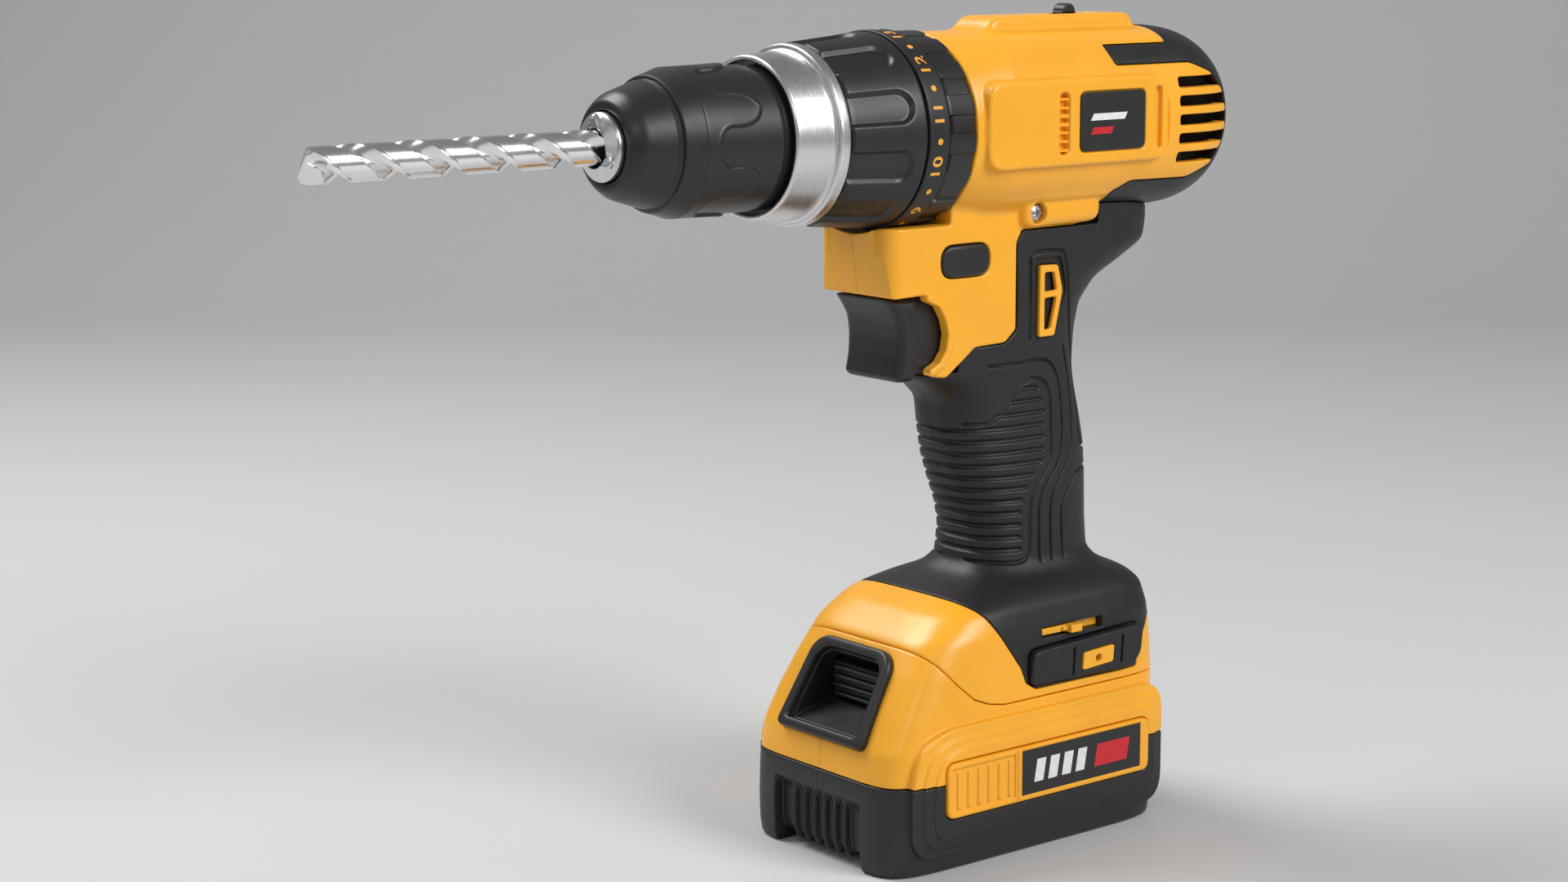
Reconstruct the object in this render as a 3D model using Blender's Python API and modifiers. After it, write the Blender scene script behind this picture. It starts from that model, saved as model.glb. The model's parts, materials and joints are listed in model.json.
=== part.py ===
"""Cordless drill driver: a 13 mm keyless chuck, gearbox, motor, grip and slide-on battery pack.

The origin is the centre of the battery's flat base. The drill axis runs along X, with the bit towards -X.
"""

import math

import bmesh
import bpy
from mathutils import Matrix, Vector

MM = 0.001

# Driving dimensions
FOOT_HEIGHT = 82.5 * MM  # lower end of the narrow handle, above the base
HANDLE_LENGTH = 53.5 * MM  # narrow handle, between the trigger and the foot
HANDLE_DRAWN = 53.5  # its length in the side view outlines, in millimetres
HANDLE_TOP = -76.0  # its upper end in those outlines, from the drill axis
AXIS_HEIGHT = FOOT_HEIGHT + HANDLE_LENGTH - HANDLE_TOP * MM  # drill axis above the base
BARREL_FRONT = -20.0 * MM  # front face of the motor housing
BARREL_HALF_WIDTH = 28.0 * MM
BARREL_HALF_HEIGHT = 27.4 * MM
BARREL_BORE = 24.6 * MM
RING_RADIUS = 28.0 * MM  # mode ring, the widest turned piece
BIT_RADIUS = 4.9 * MM
BIT_TIP = 200.0 * MM  # ahead of the housing front
GRIP_HALF_WIDTH = 16.5 * MM
HUMP_HALF_WIDTH = 8.0 * MM
PLATE_HALF_WIDTH = 38.0 * MM
WALL = 3.0 * MM
GAP = 0.3 * MM  # between pieces that touch
RUNNING_GAP = 0.5 * MM  # between pieces that move past each other

# Gear train
MODULE = 1.0 * MM
SUN_TEETH = 9
PLANET_TEETH = 12
RING_TEETH = SUN_TEETH + 2 * PLANET_TEETH
PLANET_COUNT = 3
PLANET_ORBIT = MODULE * (SUN_TEETH + PLANET_TEETH) / 2
SHAFT_RADIUS = 2.0 * MM

# Battery
CELL_RADIUS = 9.1 * MM
CELL_LENGTH = 65.0 * MM
CELL_PITCH = 2 * CELL_RADIUS + GAP
CELL_ROWS = (12.4 * MM, 31.2 * MM)
CELL_PAIRS = 5
FIRST_CELL_X = -37.0 * MM
SPLIT_HEIGHT = 27.0 * MM  # between the pack's upper and lower case

# Chuck
JAW_COUNT = 3
JAW_RADIUS = 2.7 * MM
JAW_ANGLE = math.radians(12.0)
JAW_FRONT = 112.0 * MM
JAW_LENGTH = 32.0 * MM
JAW_FRONT_OFFSET = 5.7 * MM

# Collars and trigger
RECESS_COUNT = 10  # finger recesses in the torque collar
NOTCH_COUNT = 16  # low blocks round the mode ring, each followed by a high one
TRIGGER_HALF_WIDTH = 13.0 * MM


def clear_scene():
    for obj in list(bpy.data.objects):
        bpy.data.objects.remove(obj, do_unlink=True)


clear_scene()
PARTS = bpy.data.collections.new("cordless_drill")
TOOLS = bpy.data.collections.new("cutters")
for group in (PARTS, TOOLS):
    bpy.context.scene.collection.children.link(group)
TOOLS.hide_render = True

LOOKS = {
    "yellow": ((0.93, 0.37, 0.02), 0.38, 0.0),
    "black": ((0.028, 0.028, 0.028), 0.5, 0.0),
    "rubber": ((0.022, 0.022, 0.022), 0.7, 0.0),
    "dark": ((0.012, 0.012, 0.012), 0.6, 0.0),
    "steel": ((0.62, 0.62, 0.63), 0.22, 1.0),
    "bright_steel": ((0.75, 0.75, 0.76), 0.12, 1.0),
    "satin_steel": ((0.55, 0.55, 0.56), 0.33, 1.0),
    "copper": ((0.72, 0.3, 0.14), 0.35, 1.0),
    "carbon": ((0.02, 0.02, 0.022), 0.8, 0.0),
    "cell": ((0.03, 0.2, 0.1), 0.4, 0.0),
    "cast": ((0.12, 0.12, 0.125), 0.5, 0.6),
}


def look(name, key):
    colour, roughness, metallic = LOOKS[key]
    made = bpy.data.materials.new(name)
    made.use_nodes = True
    shader = made.node_tree.nodes["Principled BSDF"]
    shader.inputs["Base Color"].default_value = (*colour, 1.0)
    shader.inputs["Roughness"].default_value = roughness
    shader.inputs["Metallic"].default_value = metallic
    made.diffuse_color = (*colour, 1.0)
    return made


# ---------------------------------------------------------------- helpers


def behind(distance):
    """X of a point this many millimetres behind the front of the housing."""
    return BARREL_FRONT + distance * MM


def above(distance):
    """Z of a point this many side view millimetres above the drill axis, the handle drawn out to its length."""
    share = min(max((HANDLE_TOP - distance) / HANDLE_DRAWN, 0.0), 1.0)
    return AXIS_HEIGHT + distance * MM - share * (HANDLE_LENGTH - HANDLE_DRAWN * MM)


def side_outline(*pairs):
    """Side view points, as millimetres behind the housing front and above the drill axis."""
    return [(behind(along), above(up)) for along, up in pairs]


def rounded(outline, radius, steps=3):
    """The outline with its corners turned into arcs of this radius, or less where a side is short."""
    points = [Vector(point) for point in outline]
    found = []
    for index, corner in enumerate(points):
        before = points[index - 1] - corner
        after = points[(index + 1) % len(points)] - corner
        reach = min(radius, 0.45 * before.length, 0.45 * after.length)
        start = corner + before.normalized() * reach
        end = corner + after.normalized() * reach
        for step in range(steps + 1):
            part = step / steps
            along = start.lerp(corner, part)
            found.append(tuple(along.lerp(corner.lerp(end, part), part)))
    return found


def grown(outline, distance):
    """The outline moved outwards by this distance, or inwards where it is negative."""
    points = [Vector(point) for point in outline]
    turn = 0.0
    for index, point in enumerate(points):
        following = points[(index + 1) % len(points)]
        turn += point.x * following.y - following.x * point.y
    sign = 1.0 if turn > 0 else -1.0
    moved = []
    for index, point in enumerate(points):
        before = (point - points[index - 1]).normalized()
        after = (points[(index + 1) % len(points)] - point).normalized()
        normal = Vector((before.y + after.y, -before.x - after.x)).normalized()
        share = max(0.5, normal.dot(Vector((after.y, -after.x))))
        moved.append(tuple(point + normal * (sign * distance / share)))
    return moved


def circle(radius, count=24, centre=(0.0, 0.0)):
    angles = [math.tau * index / count for index in range(count)]
    return [(centre[0] + radius * math.cos(a), centre[1] + radius * math.sin(a)) for a in angles]


def extruded(outlines, depth, frame):
    """A mesh of filled outlines, the inner ones as holes, centred on the frame's XY plane."""
    curve = bpy.data.curves.new("outline", "CURVE")
    curve.dimensions = "2D"
    curve.fill_mode = "BOTH"
    curve.extrude = depth / 2
    for outline in outlines:
        spline = curve.splines.new("POLY")
        spline.points.add(len(outline) - 1)
        for point, (x, y) in zip(spline.points, outline):
            point.co = (x, y, 0.0, 1.0)
        spline.use_cyclic_u = True
    return mesh_of_curve(curve, frame)


def mesh_of_curve(curve, frame):
    holder = bpy.data.objects.new("outline", curve)
    PARTS.objects.link(holder)
    bpy.context.view_layer.update()
    graph = bpy.context.evaluated_depsgraph_get()
    mesh = bpy.data.meshes.new_from_object(holder.evaluated_get(graph))
    bpy.data.objects.remove(holder, do_unlink=True)
    shape = bmesh.new()
    shape.from_mesh(mesh)
    bmesh.ops.remove_doubles(shape, verts=shape.verts, dist=0.001 * MM)
    bmesh.ops.transform(shape, matrix=frame, verts=shape.verts)
    bmesh.ops.recalc_face_normals(shape, faces=shape.faces)
    shape.to_mesh(mesh)
    shape.free()
    mesh.materials.clear()
    return mesh


def side_frame(y=0.0):
    """Takes an outline drawn as (x, z) to the side view plane at this y."""
    return Matrix.Translation((0.0, y, 0.0)) @ Matrix.Rotation(math.pi / 2, 4, "X")


def cross_frame(x, y=0.0, z=0.0):
    """Takes an outline to the plane across the drill axis at this x, its second coordinate up."""
    return Matrix.Translation((x, y, AXIS_HEIGHT + z)) @ Matrix(
        ((0, 0, 1, 0), (1, 0, 0, 0), (0, 1, 0, 0), (0, 0, 0, 1))
    )


def side_plate(outline, half_width, y=0.0):
    return extruded([outline], 2 * half_width, side_frame(y))


def box(low, high):
    shape = bmesh.new()
    bmesh.ops.create_cube(shape, size=1.0)
    low, high = Vector(low), Vector(high)
    size = high - low
    bmesh.ops.scale(shape, vec=size, verts=shape.verts)
    bmesh.ops.translate(shape, vec=(low + high) / 2, verts=shape.verts)
    return finished(shape)


def rod(radius, length, frame, sides=16, far_radius=None):
    """A cylinder or cone frustum on the frame's Z axis, from its origin to this length."""
    shape = bmesh.new()
    bmesh.ops.create_cone(
        shape,
        cap_ends=True,
        segments=sides,
        radius1=radius,
        radius2=radius if far_radius is None else far_radius,
        depth=length,
    )
    bmesh.ops.translate(shape, vec=(0.0, 0.0, length / 2), verts=shape.verts)
    bmesh.ops.transform(shape, matrix=frame, verts=shape.verts)
    return finished(shape)


def loft(rings):
    """A closed mesh through rings of points, each with the same count."""
    shape = bmesh.new()
    rows = [[shape.verts.new(point) for point in ring] for ring in rings]
    for row, following in zip(rows, rows[1:]):
        for index in range(len(row)):
            ahead = (index + 1) % len(row)
            shape.faces.new((row[index], row[ahead], following[ahead], following[index]))
    shape.faces.new(rows[0])
    shape.faces.new(rows[-1])
    bmesh.ops.recalc_face_normals(shape, faces=shape.faces)
    return finished(shape)


def finished(shape):
    mesh = bpy.data.meshes.new("mesh")
    shape.to_mesh(mesh)
    shape.free()
    return mesh


def joined(meshes):
    """One mesh that holds several closed bodies, for a cutter."""
    shape = bmesh.new()
    for mesh in meshes:
        shape.from_mesh(mesh)
    return finished(shape)


def squircle(half_a, half_b, power, count=32):
    """Points of a superellipse round the origin."""
    found = []
    for index in range(count):
        angle = math.tau * (index + 0.5) / count
        a, b = math.cos(angle), math.sin(angle)
        found.append(
            (
                math.copysign(abs(a) ** (2 / power), a) * half_a,
                math.copysign(abs(b) ** (2 / power), b) * half_b,
            )
        )
    return found


def place(name, data, group, material=None, location=(0, 0, 0), rotation=(0, 0, 0)):
    obj = bpy.data.objects.new(name, data)
    obj.location = location
    obj.rotation_euler = rotation
    group.objects.link(obj)
    if material:
        data.materials.clear()
        data.materials.append(material)
    return obj


def tool(name, mesh):
    obj = place(name, mesh, TOOLS)
    obj.hide_render = True
    obj.display_type = "WIRE"
    return obj


def part(name, mesh, colour, pivot=(0.0, 0.0, 0.0)):
    """A node whose mesh is given in world space, with its origin moved to the pivot."""
    mesh = mesh.copy()
    mesh.transform(Matrix.Translation(-Vector(pivot)))
    return place(name, mesh, PARTS, look(name, colour), location=pivot)


def boolean(obj, operation, *others):
    for other in others:
        made = obj.modifiers.new(f"{operation.lower()}_{other.name}", "BOOLEAN")
        made.operation = operation
        made.object = other
        made.solver = "EXACT"
    return obj


def cut(obj, *others):
    return boolean(obj, "DIFFERENCE", *others)


def keep(obj, *others):
    return boolean(obj, "INTERSECT", *others)


def join(obj, *others):
    return boolean(obj, "UNION", *others)


def round_edges(obj, width, segments=1):
    made = obj.modifiers.new("rounded", "BEVEL")
    made.width = width
    made.segments = segments
    made.limit_method = "ANGLE"
    made.angle_limit = math.radians(50)
    return obj


def turned(name, outline, colour=None, steps=32, hollow=True):
    """A turned piece on the drill axis. Its outline is (radius, millimetres ahead of the housing front).

    A hollow outline is a loop: front to rear on the outer side and back on the inner side. A solid one is an
    open line that starts and ends on the axis.
    """
    mesh = bpy.data.meshes.new(name)
    count = len(outline)
    edges = [(index, index + 1) for index in range(count - 1)]
    if hollow:
        edges.append((count - 1, 0))
    mesh.from_pydata([(r * MM, 0.0, s * MM) for r, s in outline], edges, [])
    material = look(name, colour) if colour else None
    group = PARTS if colour else TOOLS
    obj = place(name, mesh, group, material, (BARREL_FRONT, 0.0, AXIS_HEIGHT), (0, -math.pi / 2, 0))
    screw = obj.modifiers.new("turned", "SCREW")
    screw.axis = "Z"
    screw.angle = math.tau
    screw.steps = steps
    screw.render_steps = steps
    screw.use_merge_vertices = True
    screw.merge_threshold = 0.001 * MM
    if not colour:
        obj.hide_render = True
        obj.display_type = "WIRE"
    return obj


def axial_frame(angle, radius, ahead):
    """A frame whose Z runs forwards (-X), at this angle round the drill axis."""
    point = Vector((BARREL_FRONT - ahead, radius * math.sin(angle), AXIS_HEIGHT + radius * math.cos(angle)))
    return Matrix.Translation(point) @ Matrix.Rotation(-math.pi / 2, 4, "Y")


# ---------------------------------------------------------------- bit and chuck


def drill_bit():
    """Two-flute twist drill: a plain shank in the jaws, then a section that turns as it goes forwards."""
    lead = 34.0 * MM
    flute_start = 108.0 * MM
    shank_end = 72.0 * MM
    point_length = 3.4 * MM
    count = 14
    rings = []
    stations = [(shank_end, 0.0), (flute_start, 0.0)]
    step = lead / 9
    along = flute_start + 3.0 * MM
    while along < BIT_TIP - point_length:
        stations.append((along, 1.0))
        along += step
    stations.append((BIT_TIP - point_length, 1.0))
    for ahead, depth in stations:
        rings.append(bit_section(ahead, depth, math.tau * ahead / lead, 1.0, count))
    rings.append(bit_section(BIT_TIP, 1.0, math.tau * BIT_TIP / lead, 0.12, count))
    part("drill_bit", loft(rings), "bright_steel", (BARREL_FRONT, 0.0, AXIS_HEIGHT))


def bit_section(ahead, depth, turn, scale, count):
    ring = []
    for index in range(count):
        angle = math.tau * index / count
        flute = max(0.0, -math.cos(2 * angle)) ** 0.7
        radius = BIT_RADIUS * scale * (1.0 - 0.42 * depth * flute)
        around = angle + turn
        ring.append(
            (BARREL_FRONT - ahead, radius * math.sin(around), AXIS_HEIGHT + radius * math.cos(around))
        )
    return ring


def jaw_frame(angle, back):
    """Along a jaw's own axis, this far back from its front end, with Z running back and outwards."""
    outwards = Vector((0.0, math.sin(angle), math.cos(angle)))
    slope = Vector((math.cos(JAW_ANGLE), 0.0, 0.0)) + math.sin(JAW_ANGLE) * outwards
    front = Vector((BARREL_FRONT - JAW_FRONT, 0.0, AXIS_HEIGHT)) + JAW_FRONT_OFFSET * outwards
    aim = slope.to_track_quat("Z", "Y").to_matrix().to_4x4()
    return Matrix.Translation(front + slope * back) @ aim


def chuck_jaws():
    """Three hardened rods in inclined bores, each ground flat where it grips the bit."""
    grip = BIT_RADIUS + GAP
    core = tool(
        "jaw_grip_clearance",
        rod(grip, 60 * MM, axial_frame(0.0, 0.0, 60 * MM), sides=24),
    )
    nose = tool("jaw_front_trim", box((-0.2, -0.02, 0.19), (behind(-112.0), 0.02, 0.23)))
    bores = []
    for index in range(JAW_COUNT):
        angle = math.tau * index / JAW_COUNT
        frame = jaw_frame(angle, -4 * MM)
        pivot = jaw_frame(angle, 0.0).translation
        jaw = part(
            f"chuck_jaw_{index + 1}",
            rod(JAW_RADIUS, JAW_LENGTH + 4 * MM, frame, sides=12),
            "steel",
            pivot,
        )
        cut(jaw, core, nose)
        bores.append(rod(JAW_RADIUS + GAP, JAW_LENGTH + 14 * MM, frame, sides=10))
    return tool("jaw_bores", joined(bores))


def chuck_body(bores):
    """The steel hub: conical nose, through bore, and a threaded seat for the spindle."""
    outline = [
        (5.6, 112.6),
        (9.0, 111.2),
        (9.4, 110.6),
        (9.4, 107.6),
        (14.5, 101.0),
        (14.5, 62.0),
        (17.2, 60.0),
        (17.2, 50.0),
        (6.4, 50.0),
        (6.4, 63.3),
        (2.6, 63.3),
        (2.6, 64.8),
        (6.0, 64.8),
        (6.0, 104.0),
        (5.6, 106.0),
    ]
    body = turned("chuck_body", outline, "steel", steps=20)
    cut(body, bores)


def chuck_pieces():
    bores = chuck_jaws()
    chuck_body(bores)
    nut = [(18.5, 91.0), (18.5, 84.0), (14.9, 84.0), (14.9, 91.0)]
    turned("chuck_nut", nut, "satin_steel", steps=24)
    sleeve = [
        (9.8, 108.8),
        (11.6, 108.6),
        (13.6, 107.4),
        (17.1, 96.7),
        (16.4, 96.4),
        (16.5, 95.6),
        (18.3, 95.3),
        (19.9, 89.3),
        (21.0, 64.0),
        (20.7, 62.6),
        (20.7, 56.0),
        (18.9, 56.0),
        (18.9, 92.4),
        (15.0, 101.0),
        (9.8, 107.9),
    ]
    turned("chuck_sleeve", sleeve, "black", steps=24)
    collar = [
        (22.2, 61.1),
        (22.7, 60.6),
        (23.6, 48.4),
        (25.2, 48.2),
        (25.6, 47.6),
        (25.6, 44.9),
        (25.0, 44.3),
        (17.5, 44.3),
        (17.5, 50.6),
        (21.3, 50.6),
        (21.3, 61.1),
    ]
    turned("chuck_collar_ring", collar, "satin_steel", steps=24)
    screw = [(0.0, 67.8), (4.2, 67.8), (4.8, 67.0), (4.8, 65.1), (2.2, 65.1), (2.2, 46.0), (0.0, 45.2)]
    turned("chuck_screw", screw, "steel", steps=16, hollow=False)


# ---------------------------------------------------------------- collar rings and gearbox


def collar_rings():
    """Torque collar, number ring and mode ring, turning on the nose of the gear case."""
    collar = [
        (25.0, 44.0),
        (25.8, 43.4),
        (28.0, 19.0),
        (27.7, 18.6),
        (21.4, 18.6),
        (21.4, 21.0),
        (23.6, 22.0),
        (23.6, 41.0),
        (17.5, 41.0),
        (17.5, 44.0),
    ]
    torque = turned("clutch_collar", collar, "black", steps=28)
    recesses = []
    for index in range(RECESS_COUNT):
        angle = math.tau * index / RECESS_COUNT
        shape = bmesh.new()
        shape.from_mesh(finger_recess())
        bmesh.ops.rotate(
            shape,
            cent=(0.0, 0.0, AXIS_HEIGHT),
            matrix=Matrix.Rotation(angle, 3, "X"),
            verts=shape.verts,
        )
        recesses.append(finished(shape))
    cut(torque, tool("collar_recesses", joined(recesses)))
    numbers = [(28.0, 18.3), (28.5, 17.8), (28.5, 11.3), (28.2, 10.9), (21.4, 10.9), (21.4, 18.3)]
    turned("number_ring", numbers, "black", steps=28)
    mode = [(27.6, 10.6), (28.0, 10.2), (28.0, 0.7), (27.7, 0.3), (21.4, 0.3), (21.4, 10.6)]
    ring = turned("mode_ring", mode, "black", steps=28)
    notches = []
    for index in range(NOTCH_COUNT):
        angle = math.tau * (index + 0.75) / NOTCH_COUNT
        frame = axial_frame(angle, RING_RADIUS + 2.2 * MM, 2.5 * MM)
        notches.append(turned_box(angle, frame))
    cut(ring, tool("ring_notches", joined(notches)))


def finger_recess():
    """A long groove in the collar, open at the front and round at the back."""
    half_width = 5.3 * MM
    outline = [
        (behind(-50.0), -half_width),
        (behind(-50.0), half_width),
        (behind(-26.0), half_width),
        (behind(-23.0), 0.6 * half_width),
        (behind(-22.2), 0.0),
        (behind(-23.0), -0.6 * half_width),
        (behind(-26.0), -half_width),
    ]
    tilt = Matrix.Translation((behind(-44.0), 0.0, above(28.6)))
    tilt = tilt @ Matrix.Rotation(math.radians(-5.0), 4, "Y")
    back = Matrix.Translation((-behind(-44.0), 0.0, 0.0))
    return extruded([outline], 8.0 * MM, tilt @ back)


def turned_box(angle, frame):
    half = RING_RADIUS * math.sin(math.pi / NOTCH_COUNT / 2)
    shape = bmesh.new()
    bmesh.ops.create_cube(shape, size=1.0)
    bmesh.ops.scale(shape, vec=(6.0 * MM, 2 * half, 12.0 * MM), verts=shape.verts)
    turn = Matrix.Translation(frame.translation) @ Matrix.Rotation(-angle, 4, "X")
    swap = turn @ Matrix.Rotation(math.pi / 2, 4, "Y")
    bmesh.ops.transform(shape, matrix=swap, verts=shape.verts)
    bmesh.ops.translate(shape, vec=(-5.0 * MM, 0.0, 0.0), verts=shape.verts)
    return finished(shape)


def gearbox():
    case = [
        (17.0, 43.6),
        (17.0, 22.0),
        (21.0, 21.0),
        (21.0, 0.0),
        (24.2, -0.3),
        (24.2, -27.0),
        (20.3, -27.0),
        (20.3, -4.0),
        (12.3, -4.0),
        (12.3, 30.0),
        (13.4, 30.0),
        (13.4, 38.3),
        (8.0, 38.3),
        (8.0, 43.6),
    ]
    turned("gear_case", case, "cast", steps=20)
    bearing = [(13.1, 38.0), (13.1, 30.3), (6.4, 30.3), (6.4, 38.0)]
    turned("spindle_bearing", bearing, "steel", steps=20)
    shaft = [
        (0.0, 63.0),
        (6.0, 63.0),
        (6.0, -2.0),
        (4.8, -2.0),
        (4.8, -7.6),
        (0.0, -7.6),
    ]
    spindle = turned("spindle", shaft, "steel", steps=16, hollow=False)
    screw_hole = rod(2.5 * MM, 24 * MM, axial_frame(0.0, 0.0, 44 * MM), sides=16)
    cut(spindle, tool("spindle_screw_hole", screw_hole))
    clutch_spring()
    gears()


def clutch_spring():
    """A compression spring round the gear case nose."""
    turns, per_turn, radius, wire = 4, 12, 19.2 * MM, 1.0 * MM
    start, end = 25.0 * MM, 38.6 * MM
    curve = bpy.data.curves.new("clutch_spring", "CURVE")
    curve.dimensions = "3D"
    curve.bevel_depth = wire
    curve.bevel_resolution = 2
    curve.use_fill_caps = True
    spline = curve.splines.new("POLY")
    count = turns * per_turn + 1
    spline.points.add(count - 1)
    for index, point in enumerate(spline.points):
        angle = math.tau * index / per_turn
        ahead = start + (end - start) * index / (count - 1)
        up = AXIS_HEIGHT + radius * math.cos(angle)
        point.co = (BARREL_FRONT - ahead, radius * math.sin(angle), up, 1.0)
    part("clutch_spring", mesh_of_curve(curve, Matrix.Identity(4)), "steel")


def toothed(teeth, pitch_radius, outwards, phase=0.0):
    """A gear outline with four points to a tooth, slim enough to leave backlash."""
    tip = pitch_radius + outwards * 0.55 * MODULE
    root = pitch_radius - outwards * 0.85 * MODULE
    step = math.tau / teeth
    found = []
    for index in range(teeth):
        middle = index * step + phase
        for radius, share in ((root, -0.32), (tip, -0.11), (tip, 0.11), (root, 0.32)):
            angle = middle + share * step
            found.append((radius * math.cos(angle), radius * math.sin(angle)))
    return found


def gears():
    """One planetary stage: the motor's pinion, three planets on the carrier and a fixed ring."""
    middle, width = behind(14.0), 10.0 * MM
    # each planet has a tooth pointing outwards and one pointing at the axis, into spaces of ring and sun
    ring_pitch = MODULE * RING_TEETH / 2
    ring = toothed(RING_TEETH, ring_pitch, -1, math.pi / 2 + math.pi / RING_TEETH)
    mesh = extruded([circle(20.0 * MM, 28), ring], width, cross_frame(middle))
    part("ring_gear", mesh, "steel", (BARREL_FRONT, 0.0, AXIS_HEIGHT))
    sun = toothed(SUN_TEETH, MODULE * SUN_TEETH / 2, 1, math.pi / 2 + math.pi / SUN_TEETH)
    mesh = extruded([sun, circle(SHAFT_RADIUS + GAP, 16)], width, cross_frame(middle))
    part("sun_pinion", mesh, "steel", (BARREL_FRONT, 0.0, AXIS_HEIGHT))
    planet_pitch = MODULE * PLANET_TEETH / 2
    pins = []
    for index in range(PLANET_COUNT):
        angle = math.pi / 2 + math.tau * index / PLANET_COUNT
        y = PLANET_ORBIT * math.cos(angle)
        z = PLANET_ORBIT * math.sin(angle)
        # rolling the planet round the ring turns it by the ratio of the teeth
        phase = math.pi / 2 - math.tau * index / PLANET_COUNT * (RING_TEETH / PLANET_TEETH - 1)
        outline = toothed(PLANET_TEETH, planet_pitch, 1, phase)
        frame = cross_frame(middle, y, z)
        mesh = extruded([outline, circle(2.3 * MM, 12)], width - 0.6 * MM, frame)
        part(f"planet_gear_{index + 1}", mesh, "steel", frame.translation)
        pins.append(rod(2.0 * MM, 13.0 * MM, cross_frame(behind(6.0), y, z), sides=10))
    disc = [circle(15.6 * MM, 24), circle(5.1 * MM, 16)]
    carrier = part(
        "planet_carrier",
        extruded(disc, 3.6 * MM, cross_frame(behind(6.2))),
        "steel",
        (BARREL_FRONT, 0.0, AXIS_HEIGHT),
    )
    join(carrier, tool("carrier_pins", joined(pins)))


# ---------------------------------------------------------------- motor


def motor():
    can = [
        (19.0, -30.4),
        (19.0, -72.0),
        (17.4, -72.0),
        (17.4, -32.4),
        (6.0, -32.4),
        (6.0, -27.5),
        (8.0, -27.5),
        (8.0, -30.4),
    ]
    turned("motor_can", can, "satin_steel", steps=24)
    armature = [
        (0.0, -8.6),
        (2.0, -8.6),
        (2.0, -38.0),
        (7.0, -38.0),
        (13.4, -40.0),
        (13.4, -66.0),
        (7.0, -68.0),
        (5.6, -71.0),
        (5.6, -78.6),
        (2.0, -78.6),
        (2.0, -93.0),
        (0.0, -93.0),
    ]
    turned("armature", armature, "copper", steps=16, hollow=False)
    cap = [
        (19.0, -72.3),
        (19.0, -84.0),
        (2.4, -84.0),
        (2.4, -80.6),
        (16.4, -80.6),
        (16.4, -72.3),
    ]
    turned("motor_end_cap", cap, "black", steps=24)
    for name, side in (("brush_upper", 1.0), ("brush_lower", -1.0)):
        low, high = sorted((side * 6.0, side * 15.6))
        mesh = box((behind(73.5), -2.6 * MM, above(low)), (behind(80.3), 2.6 * MM, above(high)))
        part(name, mesh, "carbon")
    blades = toothed_fan(9)
    mesh = extruded([blades, circle(SHAFT_RADIUS + GAP, 16)], 5.0 * MM, cross_frame(behind(89.0)))
    part("cooling_fan", mesh, "black", (BARREL_FRONT, 0.0, AXIS_HEIGHT))


def toothed_fan(count):
    step = math.tau / count
    found = []
    for index in range(count):
        middle = index * step
        for radius, share in ((5.0, -0.2), (16.5, -0.02), (16.5, 0.1), (5.0, 0.02)):
            angle = middle + share * step
            found.append((radius * MM * math.cos(angle), radius * MM * math.sin(angle)))
    return found


# ---------------------------------------------------------------- motor housing


def barrel_mesh(extra=0.0):
    """The outer form of the motor housing: round at the front, squarer behind, domed at the rear."""
    width, height = BARREL_HALF_WIDTH, BARREL_HALF_HEIGHT
    stations = [
        (0.3, 0.984, 1.0, 2.0),
        (7.0, 0.99, 1.0, 2.2),
        (16.0, 1.0, 1.0, 2.5),
        (86.0, 1.0, 1.0, 2.5),
        (95.0, 0.975, 0.985, 2.4),
        (102.0, 0.905, 0.94, 2.3),
        (107.0, 0.79, 0.85, 2.2),
        (111.5, 0.62, 0.7, 2.1),
        (115.0, 0.42, 0.5, 2.0),
        (117.0, 0.2, 0.25, 2.0),
    ]
    rings = []
    for distance, wide, high, power in stations:
        section = squircle(width * wide + extra, height * high + extra, power, 32)
        rings.append([(behind(distance), y, AXIS_HEIGHT + z) for y, z in section])
    if extra:
        rings.insert(0, [(behind(-1.0), y, z) for _, y, z in rings[0]])
    return loft(rings)


LOWER_HOUSING = (
    (-24.0, -29.4),
    (-21.0, -46.7),
    (-8.0, -46.4),
    (-3.3, -48.5),
    (-0.2, -53.6),
    (1.0, -58.3),
    (0.0, -64.0),
    (-4.2, -68.6),
    (-9.4, -69.6),
    (-9.4, -71.6),
    (-1.1, -71.5),
    (5.4, -66.7),
    (10.2, -63.2),
    (22.0, -63.1),
    (26.3, -59.5),
    (26.3, -34.0),
    (28.5, -30.2),
    (52.0, -30.2),
    (60.0, -26.0),
    (61.0, -12.0),
    (0.3, -12.0),
    (0.3, -29.4),
)


def rear_outline():
    """Side view of the rear cap: a tongue above the side vents, the back, and a skirt below."""
    return side_outline(
        (57.0, 22.4),
        (57.8, 16.7),
        (88.0, 16.7),
        (97.0, 13.0),
        (102.4, 6.5),
        (103.8, -0.4),
        (102.4, -7.0),
        (97.0, -13.6),
        (87.0, -17.5),
        (65.0, -17.6),
        (59.5, -20.8),
        (59.5, -36.0),
        (140.0, -36.0),
        (140.0, 36.0),
        (87.5, 36.0),
        (84.0, 22.4),
    )


def hump_outline():
    return side_outline((20.0, 20.0), (20.0, 26.6), (24.5, 31.3), (80.6, 31.3), (82.0, 26.0), (82.0, 20.0))


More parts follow.
